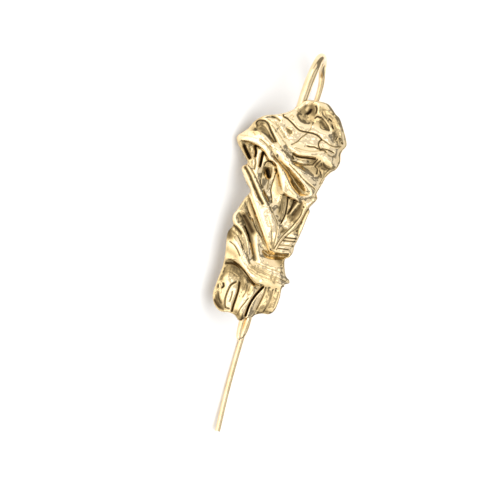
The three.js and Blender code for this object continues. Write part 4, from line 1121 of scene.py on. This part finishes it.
class StudioSizes(bpy.types.PropertyGroup):
    distance: bpy.props.FloatProperty(
        name="Camera distance", description="From the camera to what it looks at",
        default=0.264, unit="LENGTH",
    )
    floor_colour: bpy.props.FloatVectorProperty(
        name="Floor colour", description="Colour of the floor under the cuff",
        default=(0.9, 0.9, 0.9), subtype="COLOR",
    )


# ---- The pieces ----


class EARCUFF_OT_front(bpy.types.Operator):
    """Makes the crumpled front"""

    bl_idname = "earcuff.front"
    bl_label = "Crumpled front"

    def execute(self, context):
        places, faces, shades = front_mesh()
        mesh = bpy.data.meshes.new("crumpled_front")
        mesh.from_pydata([tuple(place) for place in places], [], [tuple(map(int, face)) for face in faces])
        mesh.update()
        # The painted shading of each point: painted shade and dark reflections for the front's material.
        mesh.attributes.new("painted_shading", "FLOAT", "POINT").data.foreach_set("value", shades)
        mesh.materials.append(front_gold(context.scene.cuff_sizes))
        mesh.shade_smooth()
        linked("crumpled_front", mesh)
        return {"FINISHED"}


class EARCUFF_OT_wire(bpy.types.Operator):
    """Makes the ear wire with its two-pronged tip"""

    bl_idname = "earcuff.wire"
    bl_label = "Ear wire"

    def execute(self, context):
        sizes = context.scene.cuff_sizes
        route = wire_route()
        rod = np.column_stack([route, np.full(len(route), sizes.front_width / 2)])
        rod[0, 3] *= 0.5
        prongs = [smooth_line(prong, STEPS["prong"]) for prong in (LEFT_PRONG, RIGHT_PRONG)]
        length = np.linalg.norm(np.diff(route, axis=0), axis=1).sum()
        swept_mesh(
            "ear_wire", [rod, *prongs], wire_gold(), Thin_share=sizes.back_width / sizes.front_width,
            Taper_start=THINNING[0] * length, Taper_end=THINNING[1] * length,
        )
        return {"FINISHED"}


class EARCUFF_OT_solder(bpy.types.Operator):
    """Makes the solder that joins the wire to the front's back"""

    bl_idname = "earcuff.solder"
    bl_label = "Solder"

    def execute(self, context):
        piece = swept_mesh("solder", [smooth_line(SOLDER, STEPS["solder"])], solder_gold())
        piece.data.transform(Matrix.Diagonal((1, SOLDER_FLAT, 1, 1)))
        return {"FINISHED"}


def lying_turn():
    """The turn from the worn frame to the way that the cuff lies."""
    return (
        Matrix.Rotation(math.radians(LYING["pitch"]), 4, "Y")
        @ Matrix.Rotation(math.radians(LYING["roll"]), 4, "X")
        @ Matrix.Rotation(math.radians(-90), 4, "Y")
    )


def mesh_places(mesh):
    """The places of a mesh's points, in rows."""
    places = np.empty(len(mesh.vertices) * 3)
    mesh.vertices.foreach_get("co", places)
    return places.reshape(-1, 3)


class EARCUFF_OT_lay(bpy.types.Operator):
    """Lays the pieces on their side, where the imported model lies"""

    bl_idname = "earcuff.lay"
    bl_label = "Lay the cuff down"

    def execute(self, context):
        pieces = [context.scene.objects[name] for name in ("crumpled_front", "ear_wire", "solder")]
        for piece in pieces:
            piece.data.transform(Matrix.Scale(MM, 4) @ lying_turn())
        places = np.concatenate([mesh_places(piece.data) for piece in pieces])
        low, high = places.min(axis=0), places.max(axis=0)
        shift = Vector((-(low[0] + high[0]) / 2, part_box(CUFF)[1].y - high[1], -low[2]))
        for piece in pieces:
            piece.data.transform(Matrix.Translation(shift))
            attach(piece, BODY)
            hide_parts(CUFF)
        context.scene["cuff_origin"] = shift
        return {"FINISHED"}


# ---- The studio ----


def light_panel(name, place, size, radiance):
    """A soft white panel of light that faces the cuff."""
    light = bpy.data.lights.new(name, "AREA")
    light.shape = "RECTANGLE"
    light.size, light.size_y = size
    light.energy = radiance * math.pi * size[0] * size[1]
    lamp = linked(name, light)
    lamp.location = place
    lamp.rotation_euler = (STUDIO_MIDDLE - Vector(place)).to_track_quat("-Z", "Y").to_euler()
    return lamp


def light_panels():
    """Panels all round the cuff, for it to mirror, and a wide one overhead that it doesn't mirror."""
    facing = lying_turn().to_3x3() @ Vector((0, -1, 0))
    lamps = [light_panel(*row) for row in (
        ("front_box", STUDIO_MIDDLE + 0.65 * facing, (0.5, 0.5), 0.56),
        ("front_core", STUDIO_MIDDLE + 0.6 * facing, (0.14, 0.14), 1.15),
        ("low_panel", (0.0, -0.6, 0.17), (1.0, 0.34), 1.45),
        ("right_panel", (0.45, -0.36, 0.34), (0.5, 0.5), 1.05),
        ("left_panel", (-0.45, -0.36, 0.34), (0.5, 0.5), 0.85),
        ("back_panel", (0.0, 0.7, 0.2), (0.9, 0.3), 1.2),
        ("top_panel", (0.0, 0.06, 0.6), (0.6, 0.5), 0.6),
    )]
    ceiling = light_panel("ceiling", (0.0, 0.0, 2.0), (3.0, 3.0), 1.6)
    ceiling.visible_glossy = False
    return [*lamps, ceiling]


def floor_disc(colour):
    """A wide flat floor."""
    mesh = bpy.data.meshes.new("floor")
    turns = [2 * math.pi * corner / FLOOR["corners"] for corner in range(FLOOR["corners"])]
    places = [(FLOOR["radius"] * math.cos(turn), FLOOR["radius"] * math.sin(turn), 0) for turn in turns]
    mesh.from_pydata(places, [], [tuple(range(len(places)))])
    mesh.materials.append(floor_paint(colour))
    return linked("floor", mesh)


def soft_world():
    """An even white glow all round."""
    world = bpy.data.worlds.new("studio")
    world.use_nodes = True
    background = world.node_tree.nodes["Background"]
    background.inputs["Color"].default_value = (1, 1, 1, 1)
    background.inputs["Strength"].default_value = AMBIENT
    return world


def facing_camera(origin, distance):
    """A camera square to the front, which leans by a roll about its view."""
    turn = lying_turn().to_3x3()
    right, up = turn @ Vector((1, 0, 0)), turn @ Vector((0, 0, 1))
    aim = origin + CAMERA["right"] * MM * right + CAMERA["up"] * MM * up
    lean = math.radians(CAMERA["lean"])
    image_right = math.cos(lean) * right + math.sin(lean) * up
    image_up = math.cos(lean) * up - math.sin(lean) * right
    back = image_right.cross(image_up)
    camera = linked("camera", bpy.data.cameras.new("camera"))
    camera.data.lens = CAMERA["lens"]
    camera.data.clip_start = 0.01
    axes = Matrix((image_right, image_up, back)).transposed().to_4x4()
    camera.matrix_world = Matrix.Translation(aim + distance * back) @ axes
    return camera


class EARCUFF_OT_studio(bpy.types.Operator):
    """Makes the floor, the lights and the camera"""

    bl_idname = "earcuff.studio"
    bl_label = "Studio"

    def execute(self, context):
        scene = context.scene
        sizes = scene.studio_sizes
        floor_disc(sizes.floor_colour)
        light_panels()
        scene.world = soft_world()
        scene.camera = facing_camera(Vector(scene["cuff_origin"]), sizes.distance)
        scene.view_settings.view_transform = "Standard"
        return {"FINISHED"}


# ---- The add-on ----


class EARCUFF_PT_panel(bpy.types.Panel):
    """The ear cuff's sizes and operators"""

    bl_idname = "EARCUFF_PT_panel"
    bl_label = "Ear cuff"
    bl_space_type = "VIEW_3D"
    bl_region_type = "UI"
    bl_category = "Ear cuff"

    def draw(self, context):
        for sizes in (context.scene.cuff_sizes, context.scene.studio_sizes):
            for name in sizes.__annotations__:
                self.layout.prop(sizes, name)
        for operator in OPERATORS:
            self.layout.operator(operator.bl_idname)


OPERATORS = (EARCUFF_OT_front, EARCUFF_OT_wire, EARCUFF_OT_solder, EARCUFF_OT_lay, EARCUFF_OT_studio)
CLASSES = (CuffSizes, StudioSizes, *OPERATORS, EARCUFF_PT_panel)


def register():
    for one in CLASSES:
        bpy.utils.register_class(one)
    bpy.types.Scene.cuff_sizes = bpy.props.PointerProperty(type=CuffSizes)
    bpy.types.Scene.studio_sizes = bpy.props.PointerProperty(type=StudioSizes)


def unregister():
    del bpy.types.Scene.studio_sizes
    del bpy.types.Scene.cuff_sizes
    for one in reversed(CLASSES):
        bpy.utils.unregister_class(one)


def main():
    register()
    bpy.ops.earcuff.front()
    bpy.ops.earcuff.wire()
    bpy.ops.earcuff.solder()
    bpy.ops.earcuff.lay()
    bpy.ops.earcuff.studio()


if __name__ == "__main__":
    main()
